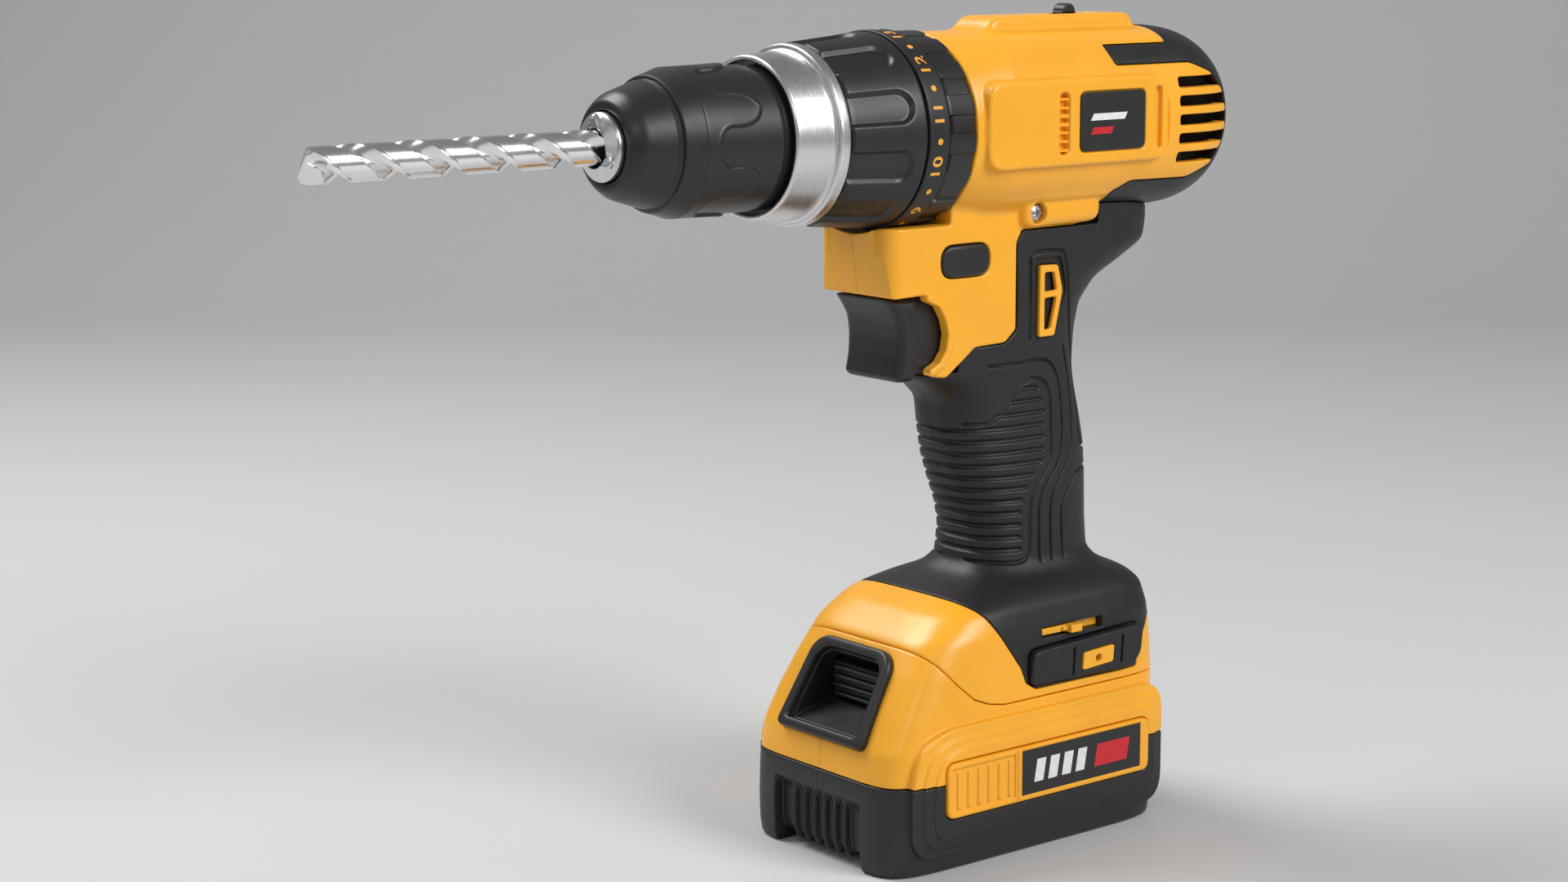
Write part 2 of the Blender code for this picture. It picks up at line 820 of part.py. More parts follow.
def housing_tools():
    """Everything that is added to or taken from the barrel, shared by both halves."""
    hump = tool("hump", side_plate(hump_outline(), HUMP_HALF_WIDTH))
    round_edges(hump, 1.6 * MM)
    lower = tool("lower_housing", side_plate(side_outline(*LOWER_HOUSING), GRIP_HALF_WIDTH))
    boss = rounded(side_outline((26.0, -29.6), (26.0, -21.4), (58.0, -21.4), (58.0, -29.6)), 4.0 * MM)
    boss = tool("screw_boss", side_plate(boss, 19.5 * MM))
    panel = rounded(side_outline((3.5, 13.8), (76.0, 13.8), (76.0, -11.4), (3.5, -11.4)), 6.0 * MM)
    panel = tool("side_panel", side_plate(panel, BARREL_HALF_WIDTH + 1.0 * MM))
    rear = tool("rear_region", side_plate(grown(rear_outline(), GAP / 2), 60.0 * MM))
    bore = [
        (0.0, 2.0),
        (BARREL_BORE / MM, 2.0),
        (BARREL_BORE / MM, -90.0),
        (22.0, -99.0),
        (16.0, -107.0),
        (8.0, -112.5),
        (0.0, -113.5),
    ]
    bore = turned("barrel_bore", bore, steps=28, hollow=False)
    inner = TRIGGER_HALF_WIDTH + RUNNING_GAP
    room = side_outline(
        (-18.0, -43.5),
        (-18.0, -32.6),
        (3.5, -32.6),
        (3.5, -20.0),
        (23.3, -20.0),
        (23.3, -59.8),
        (3.0, -59.8),
        (3.0, -43.5),
    )
    room = tool("switch_room", side_plate(room, inner - 0.6 * MM))
    travel = side_outline(
        (-40.0, -47.0),
        (-40.0, -80.0),
        (-4.0, -80.0),
        (-3.2, -70.8),
        (8.7, -70.8),
        (11.6, -65.0),
        (11.6, -47.0),
    )
    travel = tool("trigger_room", side_plate(travel, inner))
    return [hump, lower, boss, panel], [rear, bore, room, travel]


def slots(outlines, half_width, name):
    return tool(name, joined([side_plate(outline, half_width) for outline in outlines]))


def vent_slots():
    """Five slots through each side at the rear."""
    found = []
    for up, end in ((10.8, 95.0), (5.3, 99.0), (-0.3, 100.4), (-5.9, 99.0), (-11.5, 94.0)):
        corners = side_outline((80.5, up - 1.3), (80.5, up + 1.3), (end, up + 1.3), (end, up - 1.3))
        found.append(rounded(corners, 1.0 * MM, 2))
    return slots(found, 60.0 * MM, "rear_vents")


def badge_outline(inset=0.0):
    corners = side_outline((39.0, 10.0), (66.0, 10.0), (66.0, -7.8), (39.0, -7.8))
    return rounded(grown(corners, -inset), 2.4 * MM)


def button_outline(extra=0.0):
    corners = side_outline((-3.0, -33.2), (15.4, -33.2), (15.4, -42.2), (-3.0, -42.2))
    return rounded(grown(corners, extra), 4.4 * MM, 5)


SCREW_AT = (32.0, -25.5)


def motor_housing():
    added, removed = housing_tools()
    vents = vent_slots()
    badge_depth = BARREL_HALF_WIDTH + 0.2 * MM
    pocket = badge_outline(-GAP)
    pocket_left = tool("badge_pocket_left", side_plate(pocket, 2.0 * MM, badge_depth + 2.0 * MM))
    pocket_right = tool("badge_pocket_right", side_plate(pocket, 2.0 * MM, -badge_depth - 2.0 * MM))
    button_slot = tool("button_slot", side_plate(button_outline(RUNNING_GAP), 40.0 * MM))
    screw_frame = side_frame() @ Matrix.Translation((behind(SCREW_AT[0]), above(SCREW_AT[1]), 0.0))
    head_hole = tool("screw_counterbore", rod(3.2 * MM, 6 * MM, along_z(screw_frame, 16.6 * MM), 20))
    shank_hole = tool("screw_hole", rod(1.9 * MM, 24 * MM, along_z(screw_frame, -6 * MM), 14))
    selector_slot = tool(
        "selector_slot",
        box((behind(50.0), -2.6 * MM, above(24.0)), (behind(70.0), 2.6 * MM, above(36.0))),
    )
    for name, side in (("housing_left", 1.0), ("housing_right", -1.0)):
        half = part(name, barrel_mesh(), "yellow")
        join(half, *added)
        cut(half, *removed, vents, button_slot, head_hole, shank_hole, selector_slot)
        cut(half, pocket_left if side > 0 else pocket_right)
        keep(half, half_space(side))
        badge = side_plate(badge_outline(), 0.6 * MM, side * (badge_depth + 0.3 * MM + 0.6 * MM))
        part(name.replace("housing", "body_badge"), badge, "black")
    rear_cap()
    housing_screw(screw_frame)
    speed_selector()


def along_z(frame, distance):
    return frame @ Matrix.Translation((0.0, 0.0, distance))


HALVES = {}


def half_space(side):
    if side not in HALVES:
        near, far = GAP / 2, 0.08
        low, high = sorted((side * near, side * far))
        HALVES[side] = tool(
            "left_half" if side > 0 else "right_half",
            box((-0.2, low, -0.05), (0.2, high, 0.3)),
        )
    return HALVES[side]


def rear_cap():
    """The black rear of the housing, with a rib inside and a tongue along each side."""
    cap = part("rear_cap", barrel_mesh(), "rubber")
    region = tool("cap_region", side_plate(grown(rear_outline(), -GAP / 2), 60.0 * MM))
    limit = box((behind(50.0), -0.05, above(-34.0)), (behind(135.0), 0.05, above(34.0)))
    limit = tool("cap_limit", limit)
    keep(cap, region, limit)
    hump = tool("hump_clearance", side_plate(grown(hump_outline(), GAP), HUMP_HALF_WIDTH + GAP))
    cut(cap, hump, bpy.data.objects["barrel_bore"], bpy.data.objects["rear_vents"])


def housing_screw(frame):
    head = along_z(frame, 16.9 * MM)
    screw = part("housing_screw", rod(2.8 * MM, 1.8 * MM, head, 18, 2.2 * MM), "steel")
    join(screw, tool("screw_shank", rod(1.5 * MM, 19 * MM, along_z(frame, -1.6 * MM), 12)))
    recess = along_z(head, 1.9 * MM)
    for name, wide, high in (("screw_drive_a", 1.5, 0.3), ("screw_drive_b", 0.3, 1.5)):
        corners = [(-wide, -high), (wide, -high), (wide, high), (-wide, high)]
        arm = extruded([[(x * MM, y * MM) for x, y in corners]], 2.0 * MM, recess)
        cut(screw, tool(name, arm))


def speed_selector():
    """A slider on top of the hump, its stem in a slot."""
    knob = rounded(side_outline((57.4, 31.6), (57.4, 34.6), (62.4, 34.6), (62.4, 31.6)), 1.8 * MM)
    selector = part("speed_selector", side_plate(knob, 2.4 * MM), "black", (behind(59.9), 0.0, above(32.0)))
    stem = box((behind(57.0), -2.0 * MM, above(25.2)), (behind(63.0), 2.0 * MM, above(32.4)))
    join(selector, tool("selector_stem", stem))


# ---------------------------------------------------------------- trigger group


def trigger_group():
    outline = side_outline(
        (-20.3, -47.3),
        (-18.0, -50.2),
        (-15.6, -54.0),
        (-14.8, -59.0),
        (-15.0, -65.0),
        (-16.2, -70.8),
        (-14.8, -72.0),
        (-10.0, -72.0),
        (-9.0, -69.9),
        (0.5, -69.2),
        (3.0, -66.0),
        (3.6, -58.0),
        (1.5, -47.3),
    )
    pivot = (behind(-8.0), 0.0, above(-58.0))
    trigger = part("trigger", side_plate(outline, TRIGGER_HALF_WIDTH), "black", pivot)
    round_edges(trigger, 1.6 * MM)
    module = part(
        "switch_module",
        box((behind(10.2), -10.0 * MM, above(-58.0)), (behind(23.0), 10.0 * MM, above(-44.0))),
        "black",
    )
    round_edges(module, 0.6 * MM)
    button = part(
        "direction_button",
        side_plate(button_outline(), 17.6 * MM),
        "black",
        (behind(6.2), 0.0, above(-37.7)),
    )
    round_edges(button, 0.6 * MM)


# ---------------------------------------------------------------- handle, foot and battery forms


# Height above the axis, front, rear, half width and squareness of the handle, foot and pack
STEM = (
    (-18.0, 20.0, 87.5, 17.0, 3.2),
    (-31.0, 10.0, 88.0, 17.0, 3.2),
    (-37.0, 8.0, 87.0, 17.0, 3.2),
    (-42.5, 6.0, 76.5, 17.0, 3.0),
    (-47.0, 4.5, 66.5, 17.0, 2.9),
    (-54.0, 3.0, 60.4, 16.8, 2.8),
    (-62.0, -1.0, 59.0, 16.5, 2.7),
    (-72.0, -4.0, 58.5, 16.3, 2.7),
    (-75.5, 1.5, 58.6, 16.2, 2.7),
    (-80.0, 6.4, 59.2, 16.2, 2.7),
    (-89.0, 7.5, 61.5, 16.4, 2.7),
    (-97.0, 9.0, 63.0, 16.8, 2.7),
    (-106.0, 12.2, 63.4, 17.0, 2.7),
    (-113.0, 15.2, 63.4, 17.0, 2.7),
    (-120.0, 16.8, 63.4, 17.0, 2.7),
    (-129.5, 16.2, 63.8, 17.4, 2.8),
    (-133.5, 12.0, 66.5, 20.0, 3.2),
    (-136.0, 3.5, 72.5, 25.4, 4.2),
    (-139.5, -8.0, 75.5, 29.0, 5.0),
    (-146.6, -17.1, 76.0, 31.0, 6.0),
    (-156.0, -23.4, 75.6, 32.0, 7.0),
    (-167.0, -29.8, 74.6, 33.2, 8.0),
    (-176.0, -34.6, 74.2, 34.2, 8.0),
    (-187.5, -36.4, 74.0, 34.6, 8.0),
    (-199.0, -36.8, 74.0, 34.6, 8.0),
    (-209.0, -36.4, 73.8, 34.3, 8.0),
    (-212.0, -33.0, 71.0, 31.5, 7.0),
)


def stem_mesh(inset=0.0, top=0.0, bottom=-1000.0):
    """The outer form of handle, foot and pack between two heights, or one inside it."""
    rings = []
    for up, front, rear, half_width, power in STEM:
        if not bottom <= up <= top:
            continue
        section = squircle(
            (rear - front) / 2 * MM - inset,
            half_width * MM - inset,
            power,
            28,
        )
        centre = behind((front + rear) / 2)
        rings.append([(centre + x, y, above(up)) for x, y in section])
    return loft(rings)


SADDLE_EDGE = (
    (-2.5, -134.0),
    (4.0, -141.0),
    (9.5, -149.0),
    (15.0, -157.0),
    (16.5, -161.5),
    (20.5, -164.0),
    (62.4, -164.0),
    (64.5, -157.5),
    (70.8, -151.0),
    (90.0, -151.0),
)
PACK_SEAM = (
    (-24.0, -143.6),
    (-18.0, -149.0),
    (-10.0, -158.0),
    (-4.0, -163.2),
    (1.5, -165.4),
    (8.0, -166.6),
    (90.0, -166.6),
)


def shifted(edge, up):
    return [(along, height + up / MM) for along, height in edge]


def grip():
    """The black handle mouldings, from the housing down over the foot like a saddle."""
    region = side_outline(
        *shifted(SADDLE_EDGE, GAP / 2),
        (100.0, -151.0),
        (100.0, -10.0),
        (0.0, -10.0),
        (-14.0, -60.0),
        (-14.0, -125.0),
        (-8.0, -134.0),
    )
    region = tool("grip_region", side_plate(region, 60.0 * MM))
    housing = tool(
        "lower_housing_clearance",
        side_plate(grown(side_outline(*LOWER_HOUSING), GAP), 60.0 * MM),
    )
    barrel = tool("barrel_clearance", barrel_mesh(GAP))
    boss_area = box((behind(20.0), -0.05, above(-30.6)), (behind(59.0), 0.05, above(-5.0)))
    boss_area = tool("boss_clearance", boss_area)
    hollow = tool("grip_hollow", stem_mesh(WALL, -54.0, -156.0))
    channel = tool(
        "wire_channel",
        box((behind(31.0), -8 * MM, above(-60.0)), (behind(54.0), 8 * MM, above(-10.0))),
    )
    for name, side in (("grip_left", 1.0), ("grip_right", -1.0)):
        half = part(name, stem_mesh(0.0, -18.0, -167.0), "rubber")
        keep(half, region, half_space(side))
        cut(half, housing, barrel, boss_area, bpy.data.objects["trigger_room"], hollow, channel)
        cut(half, inlay_pocket(side))
        if side < 0:
            cut(half, foot_pockets())
        inlay(name.replace("grip", "inlay"), side)


INLAY = ((35.4, -41.3), (42.6, -41.5), (44.6, -49.3), (41.4, -62.6), (35.2, -62.7))


def inlay_pocket(side):
    outline = grown(side_outline(*INLAY), GAP)
    name = "inlay_pocket_left" if side > 0 else "inlay_pocket_right"
    return tool(name, side_plate(outline, 3.0 * MM, side * (GRIP_HALF_WIDTH + 1.4 * MM)))


def inlay(name, side):
    """A yellow plaque with two windows."""
    upper = side_outline((37.4, -43.6), (41.2, -43.7), (42.4, -49.0), (37.2, -49.2))
    lower = side_outline((37.2, -51.2), (42.2, -51.0), (39.8, -60.4), (37.2, -60.6))
    y = side * (GRIP_HALF_WIDTH - 0.2 * MM)
    part(name, extruded([side_outline(*INLAY), upper, lower], 2.2 * MM, side_frame(y)), "yellow")


def foot_pockets():
    """Room in the saddle's right side for the pad and the slider."""
    if "foot_pockets" in bpy.data.objects:
        return bpy.data.objects["foot_pockets"]
    pad = side_plate(grown(PAD, GAP), 3.0 * MM, -31.2 * MM - 1.5 * MM)
    slot = box((behind(24.0), -40 * MM, above(-149.6)), (behind(49.0), -26 * MM, above(-146.6)))
    return tool("foot_pockets", joined([pad, slot]))


PAD = rounded(
    [
        (behind(17.5), above(-162.6)),
        (behind(18.5), above(-152.5)),
        (behind(64.0), above(-150.5)),
        (behind(63.0), above(-160.2)),
        (behind(58.0), above(-163.4)),
    ],
    2.6 * MM,
)


def foot():
    """The yellow shell between the saddle and the pack, with the pieces on its right side."""
    region = side_outline(
        *shifted(SADDLE_EDGE, -GAP / 2),
        *reversed(shifted(PACK_SEAM, GAP / 2)),
        (-40.0, -143.6),
        (-40.0, -128.0),
        (-8.0, -128.0),
    )
    shell = part("foot_shell", stem_mesh(0.0, -128.0, -176.0), "yellow")
    hollow = bpy.data.objects["grip_hollow"]
    floor_cut = side_outline((10.0, -163.2), (10.0, -150.0), (66.0, -150.0), (66.0, -163.2))
    floor_cut = tool("foot_hollow", side_plate(floor_cut, 27.0 * MM))
    keep(shell, tool("foot_region", side_plate(region, 60.0 * MM)))
    cut(shell, hollow, floor_cut)
    cut(bpy.data.objects["grip_left"], floor_cut)
    cut(bpy.data.objects["grip_right"], floor_cut)
    pad_y = -31.2 * MM - 0.6 * MM
    hole = grown(BUTTON, GAP)
    pad = part("foot_pad", extruded([PAD, hole], 3.2 * MM, side_frame(pad_y - 0.7 * MM)), "black")
    round_edges(pad, 0.4 * MM)
    middle = (behind(44.5), above(-158.2))
    button = part(
        "foot_button",
        extruded([BUTTON, circle(1.2 * MM, 12, middle)], 3.0 * MM, side_frame(pad_y - 1.2 * MM)),
        "yellow",
        (middle[0], pad_y, middle[1]),
    )
    round_edges(button, 0.3 * MM)
    slider = part(
        "foot_slider",
        box((behind(24.6), -30.6 * MM, above(-149.2)), (behind(40.0), -28.6 * MM, above(-147.0))),
        "yellow",
        (behind(32.0), -30 * MM, above(-148.1)),
    )
    tab = box((behind(34.6), -33.2 * MM, above(-149.0)), (behind(38.4), -29.6 * MM, above(-147.2)))
    join(slider, tool("slider_tab", tab))
    terminals()


BUTTON = rounded(
    [
        (behind(38.0), above(-161.0)),
        (behind(38.4), above(-155.8)),
        (behind(51.0), above(-155.0)),
        (behind(50.6), above(-160.2)),
    ],
    0.8 * MM,
)


def terminals():
    block = part(
        "terminal_block",
        box((behind(30.0), -11 * MM, above(-162.9)), (behind(52.0), 11 * MM, above(-154.0))),
        "black",
    )
    blades = [
        box((behind(24.0), y - 0.5 * MM, above(-162.0)), (behind(31.0), y + 0.5 * MM, above(-155.0)))
        for y in (-7 * MM, 0.0, 7 * MM)
    ]
    join(block, tool("terminal_blades", joined(blades)))


# ---------------------------------------------------------------- battery pack


FRONT_SLOPE = math.atan2(15.3, 26.2)
WINDOW_AT = (-27.65, -163.1)


def window_frame(depth=0.0):
    """A frame on the sloping front of the pack: X across, Y up the slope, Z outwards."""
    normal = Vector((-math.cos(FRONT_SLOPE), 0.0, math.sin(FRONT_SLOPE)))
    upward = Vector((math.sin(FRONT_SLOPE), 0.0, math.cos(FRONT_SLOPE)))
    across = upward.cross(normal)
    turn = Matrix((across, upward, normal)).transposed().to_4x4()
    at = Vector((behind(WINDOW_AT[0]), 0.0, above(WINDOW_AT[1])))
    return Matrix.Translation(at + normal * depth) @ turn


def window_outline(inset=0.0):
    half_low, half_high, half_up = 19.6 * MM, 17.5 * MM, 15.2 * MM
    corners = [(-half_low, -half_up), (half_low, -half_up), (half_high, half_up), (-half_high, half_up)]
    return rounded(grown(corners, -inset), 4.5 * MM - inset / 2)


def pack_tools():
    steps = []
    for reach, low, high, near, far in (
        (35.5, -207.0, -169.4, -29.7, 71.0),
        (36.3, -204.4, -172.2, -26.2, 69.0),
        (37.1, -201.8, -175.2, -22.6, 67.0),
    ):
        outline = rounded(side_outline((near, low), (near, high), (far, high), (far, low)), 6.0 * MM)
        steps.append(tool(f"side_step_{len(steps) + 1}", side_plate(outline, reach * MM)))
    well = rounded(side_outline((-26.8, -209.2), (-26.8, -171.2), (67.0, -171.2), (67.0, -209.2)), 8.0 * MM)
    well = tool("cell_well", side_plate(well, 33.4 * MM))
    plates = []
    for side in (1.0, -1.0):
        y = side * (PLATE_HALF_WIDTH + 1.0 * MM)
        plates.append(side_plate(grown(plate_outline(), GAP), 3.0 * MM, y))
    return steps, well, tool("plate_pockets", joined(plates))


def plate_outline():
    return rounded(side_outline((-18.6, -195.4), (-18.6, -179.0), (63.0, -179.0), (63.0, -195.4)), 3.0 * MM)


def battery():
    steps, well, pockets = pack_tools()
    split = HANDLE_TOP - HANDLE_DRAWN + (SPLIT_HEIGHT + GAP / 2 - FOOT_HEIGHT) / MM
    seam = side_outline(
        *shifted(PACK_SEAM, -GAP / 2),
        (90.0, split),
        (-50.0, split),
        (-50.0, -143.6),
    )
    upper = part("battery_upper_case", stem_mesh(0.0, -140.0, -199.0), "yellow")
    join(upper, *steps)
    keep(upper, tool("upper_region", side_plate(seam, 60.0 * MM)))
    pocket = tool("frame_pocket", extruded([window_outline(-GAP)], 8.0 * MM, window_frame(2.8 * MM)))
    recess = tool(
        "finger_recess",
        box((behind(-45.0), -13.2 * MM, above(-169.2)), (behind(-13.6), 13.2 * MM, above(-156.8))),
    )
    brow = tool(
        "recess_brow",
        box((behind(-46.0), -13.6 * MM, above(-169.4)), (behind(-19.6), 13.6 * MM, above(-154.0))),
    )
    cut(upper, well, pockets, pocket, recess, brow)
    lower = part("battery_lower_case", stem_mesh(0.0, -176.0, -213.0), "black")
    join(lower, *steps)
    base = box((behind(-60.0), -0.05, above(-215.0)), (behind(90.0), 0.05, SPLIT_HEIGHT - GAP / 2))
    keep(lower, tool("lower_region", base))
    cut(lower, well, pockets)
    frame_piece()
    for name, side in (("badge_plate_left", 1.0), ("badge_plate_right", -1.0)):
        y = side * (PLATE_HALF_WIDTH - 0.8 * MM)
        plate = part(name, side_plate(plate_outline(), 0.8 * MM, y), "yellow")
        round_edges(plate, 0.4 * MM)
    cells()


def frame_piece():
    """The raised black frame round the finger recess, and the ribbed button at its back."""
    frame = part(
        "latch_frame",
        extruded([window_outline(), window_outline(3.6 * MM)], 3.0 * MM, window_frame(0.6 * MM)),
        "black",
    )
    round_edges(frame, 0.6 * MM)
    plate = box((behind(-19.4), -12.6 * MM, above(-168.6)), (behind(-17.2), 12.6 * MM, above(-157.4)))
    button = part("release_button", plate, "black", (behind(-19.4), 0.0, above(-163.0)))
    ribs = [
        box((behind(-21.0), -10.6 * MM, above(up - 0.5)), (behind(-18.6), 10.6 * MM, above(up + 0.5)))
        for up in (-167.0, -164.3, -161.6, -158.9)
    ]
    join(button, tool("button_ribs", joined(ribs)))


def cells():
    """Five pairs of cells across the pack, each pair joined at its ends by welded strips."""
    for index in range(CELL_PAIRS):
        x = FIRST_CELL_X + index * CELL_PITCH
        turn = Matrix.Rotation(-math.pi / 2, 4, "X")
        low, high = (
            rod(CELL_RADIUS, CELL_LENGTH, Matrix.Translation((x, -CELL_LENGTH / 2, z)) @ turn, 14)
            for z in CELL_ROWS
        )
        pair = part(f"cell_pair_{index + 1}", low, "cell")
        strips = [
            box(
                (x - 3 * MM, side * CELL_LENGTH / 2 - 0.3 * MM, CELL_ROWS[0] - 3 * MM),
                (x + 3 * MM, side * CELL_LENGTH / 2 + 0.3 * MM, CELL_ROWS[1] + 3 * MM),
            )
            for side in (1.0, -1.0)
        ]
        join(pair, tool(f"upper_cell_{index + 1}", high), tool(f"cell_strips_{index + 1}", joined(strips)))


def main():
    drill_bit()
    chuck_pieces()
    collar_rings()
    gearbox()
    motor()
    motor_housing()
    trigger_group()
    grip()
    foot()
    battery()


main()
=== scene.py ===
import json
import math

import bpy
import numpy as np
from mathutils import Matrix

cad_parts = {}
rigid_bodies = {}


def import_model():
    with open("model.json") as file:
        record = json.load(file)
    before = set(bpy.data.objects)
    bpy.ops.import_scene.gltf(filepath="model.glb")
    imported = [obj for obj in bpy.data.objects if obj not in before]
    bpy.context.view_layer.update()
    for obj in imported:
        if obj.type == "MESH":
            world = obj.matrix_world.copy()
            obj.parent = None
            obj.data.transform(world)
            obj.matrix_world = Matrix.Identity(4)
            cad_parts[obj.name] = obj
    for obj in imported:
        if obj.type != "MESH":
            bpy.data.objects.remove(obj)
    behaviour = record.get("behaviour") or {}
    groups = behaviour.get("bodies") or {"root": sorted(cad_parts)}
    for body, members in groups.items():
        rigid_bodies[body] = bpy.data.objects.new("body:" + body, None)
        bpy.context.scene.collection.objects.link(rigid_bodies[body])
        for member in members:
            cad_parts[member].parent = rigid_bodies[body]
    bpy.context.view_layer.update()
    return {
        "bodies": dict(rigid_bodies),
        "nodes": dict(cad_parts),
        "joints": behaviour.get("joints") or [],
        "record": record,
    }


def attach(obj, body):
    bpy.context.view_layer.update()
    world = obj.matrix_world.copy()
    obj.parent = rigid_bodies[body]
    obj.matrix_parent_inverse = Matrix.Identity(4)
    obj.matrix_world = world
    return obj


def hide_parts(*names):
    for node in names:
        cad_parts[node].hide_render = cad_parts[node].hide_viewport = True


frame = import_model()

import openvdb
from bpy.props import FloatProperty, FloatVectorProperty, IntProperty, PointerProperty
from mathutils import Matrix, Vector

bl_info = {
    "name": "Cordless Drill",
    "version": (1, 0, 0),
    "blender": (4, 5, 0),
    "location": "3D View > Sidebar > Drill",
    "description": "Builds the mouldings, chuck, bit and finishes of a cordless drill on its packed frame",
    "category": "Add Mesh",
}

MM = 0.001
AXIS_HEIGHT = 212.0  # drill axis above the base, millimetres
HOUSING_FRONT = -20.0
RIGHT, LEFT = -1.0, 1.0


# ---------------------------------------------------------------- drawing space


def world_point(along, across, up):
    """Metres in the frame from millimetres behind the housing front, to the left and above the drill axis."""
    return Vector(((HOUSING_FRONT + along) * MM, across * MM, (AXIS_HEIGHT + up) * MM))


def shown(name, mesh, material, body, *nodes, slot=None):
    """Puts a finished mesh in the scene, riding on a body and standing for CAD nodes."""
    obj = bpy.data.objects.new(name, mesh)
    bpy.context.scene.collection.objects.link(obj)
    if material:
        mesh.materials.append(material)
    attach(obj, body)
    if nodes:
        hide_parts(*nodes)
    return obj


def smooth(mesh, sharp_angle=35.0):
    mesh.shade_smooth()
    mesh.set_sharp_from_angle(angle=math.radians(sharp_angle))
    return mesh


def arced(points, radius, steps=4):
    """A closed outline with its corners turned into arcs."""
    corners = [Vector(point) for point in points]
    found = []
    for index, corner in enumerate(corners):
        before = corners[index - 1] - corner
        after = corners[(index + 1) % len(corners)] - corner
        reach = min(radius, 0.48 * before.length, 0.48 * after.length)
        start = corner + before.normalized() * reach
        end = corner + after.normalized() * reach
        for step in range(steps + 1):
            share = step / steps
            first, second = start.lerp(corner, share), corner.lerp(end, share)
            found.append(tuple(first.lerp(second, share)))
    return found


# ---------------------------------------------------------------- solid fields


class Block:
    """A box of sample points, in millimetres behind the housing front, leftwards and above the axis."""

    def __init__(self, low, high, cell):
        self.low, self.cell = low, cell
        counts = [int(math.ceil((far - near) / cell)) + 1 for near, far in zip(low, high)]
        self.along, self.across, self.up = (
            (near + cell * np.arange(count)).astype(np.float32).reshape(shape)
            for near, count, shape in zip(low, counts, ((-1, 1, 1), (1, -1, 1), (1, 1, -1)))
        )

    def side(self, outline, radius=0.0, steps=4):
        """Distance from an outline drawn in side view, its corners rounded to this radius."""
        return outline_field(arced(outline, radius, steps) if radius else outline, self.along, self.up)

    def surface(self, field, name, side=RIGHT, whole=None):
        """The mesh where the field crosses zero, with normals from the field, mirrored for the left side.

        A half cut on the middle plane takes its normals there from the whole form, so no seam shows.
        """
        band = 3.0 * self.cell
        shape = (self.along.size, self.across.size, self.up.size)
        field = np.ascontiguousarray(np.broadcast_to(field, shape), np.float32)
        for axis in range(3):
            ends = np.moveaxis(field, axis, 0)
            if not field.flags.writeable:
                field = field.copy()
                ends = np.moveaxis(field, axis, 0)
            ends[0], ends[-1] = np.maximum(ends[0], 0.5 * self.cell), np.maximum(ends[-1], 0.5 * self.cell)
        grid = openvdb.FloatGrid(band)
        grid.copyFromArray(np.clip(field, -band, band))
        points, triangles, quads = grid.convertToPolygons(isovalue=0.0, adaptivity=0.0)
        normals = sampled_gradient(field, points)
        if whole is not None:
            whole = np.ascontiguousarray(np.broadcast_to(whole, shape), np.float32)
            near = points[:, 1] * self.cell + self.low[1] > -1.5 * self.cell
            normals[near] = sampled_gradient(whole, points[near])
        flip = side != RIGHT
        points = points * self.cell + np.array(self.low)
        if flip:
            points[:, 1] *= -1
            normals[:, 1] *= -1
        points = (points + np.array((HOUSING_FRONT, 0.0, AXIS_HEIGHT))) * MM
        mesh = mesh_of(name, points, [quads, triangles], turned=flip)
        mesh.shade_smooth()
        mesh.normals_split_custom_set_from_vertices(normals.astype(np.float32))
        return mesh


def sampled_gradient(field, points):
    """Unit gradient of a sampled field at points given in cells."""
    shape = np.array(field.shape)
    result = np.zeros_like(points, dtype=np.float64)
    for axis in range(3):
        step = np.zeros(3)
        step[axis] = 0.75
        result[:, axis] = sampled(field, points + step, shape) - sampled(field, points - step, shape)
    length = np.linalg.norm(result, axis=1, keepdims=True)
    return result / np.maximum(length, 1e-9)


def sampled(field, points, shape):
    points = np.clip(points, 0, shape - 1.001)
    base = np.floor(points).astype(np.int64)
    part = points - base
    total = np.zeros(len(points))
    for corner in np.ndindex(2, 2, 2):
        weight = np.ones(len(points))
        for axis in range(3):
            weight *= part[:, axis] if corner[axis] else 1.0 - part[:, axis]
        i, j, k = (base + np.array(corner)).T
        total += weight * field[i, j, k]
    return total


def mesh_of(name, points, groups, turned=False):
    """A mesh from arrays of points and faces, without walking them one by one."""
    faces = [group[:, ::-1] if turned else group for group in groups if len(group)]
    loops = np.concatenate([group.reshape(-1) for group in faces]).astype(np.int32)
    sizes = np.concatenate([np.full(len(group), group.shape[1]) for group in faces])
    starts = np.concatenate(([0], np.cumsum(sizes)[:-1])).astype(np.int32)
    mesh = bpy.data.meshes.new(name)
    mesh.vertices.add(len(points))
    mesh.vertices.foreach_set("co", np.asarray(points, np.float32).reshape(-1))
    mesh.loops.add(len(loops))
    mesh.loops.foreach_set("vertex_index", loops)
    mesh.polygons.add(len(starts))
    mesh.polygons.foreach_set("loop_start", starts)
    mesh.update(calc_edges=True)
    return mesh


def soft_min(a, b, radius):
    """The lower of two fields, blended over this radius."""
    share = np.clip(0.5 + 0.5 * (b - a) / radius, 0, 1)
    return b + (a - b) * share - radius * share * (1 - share)


def soft_max(a, b, radius):
    return -soft_min(-a, -b, radius)


def sunk(field, outline, floor, width, edge=0.3, rim=0.3):
    """A form with this outline cut into both its sides, down to a distance from the middle plane."""
    return soft_max(field, -soft_max(outline, floor - width, edge), rim)


def eased(value):
    value = np.clip(value, 0, 1)
    return value * value * (3 - 2 * value)


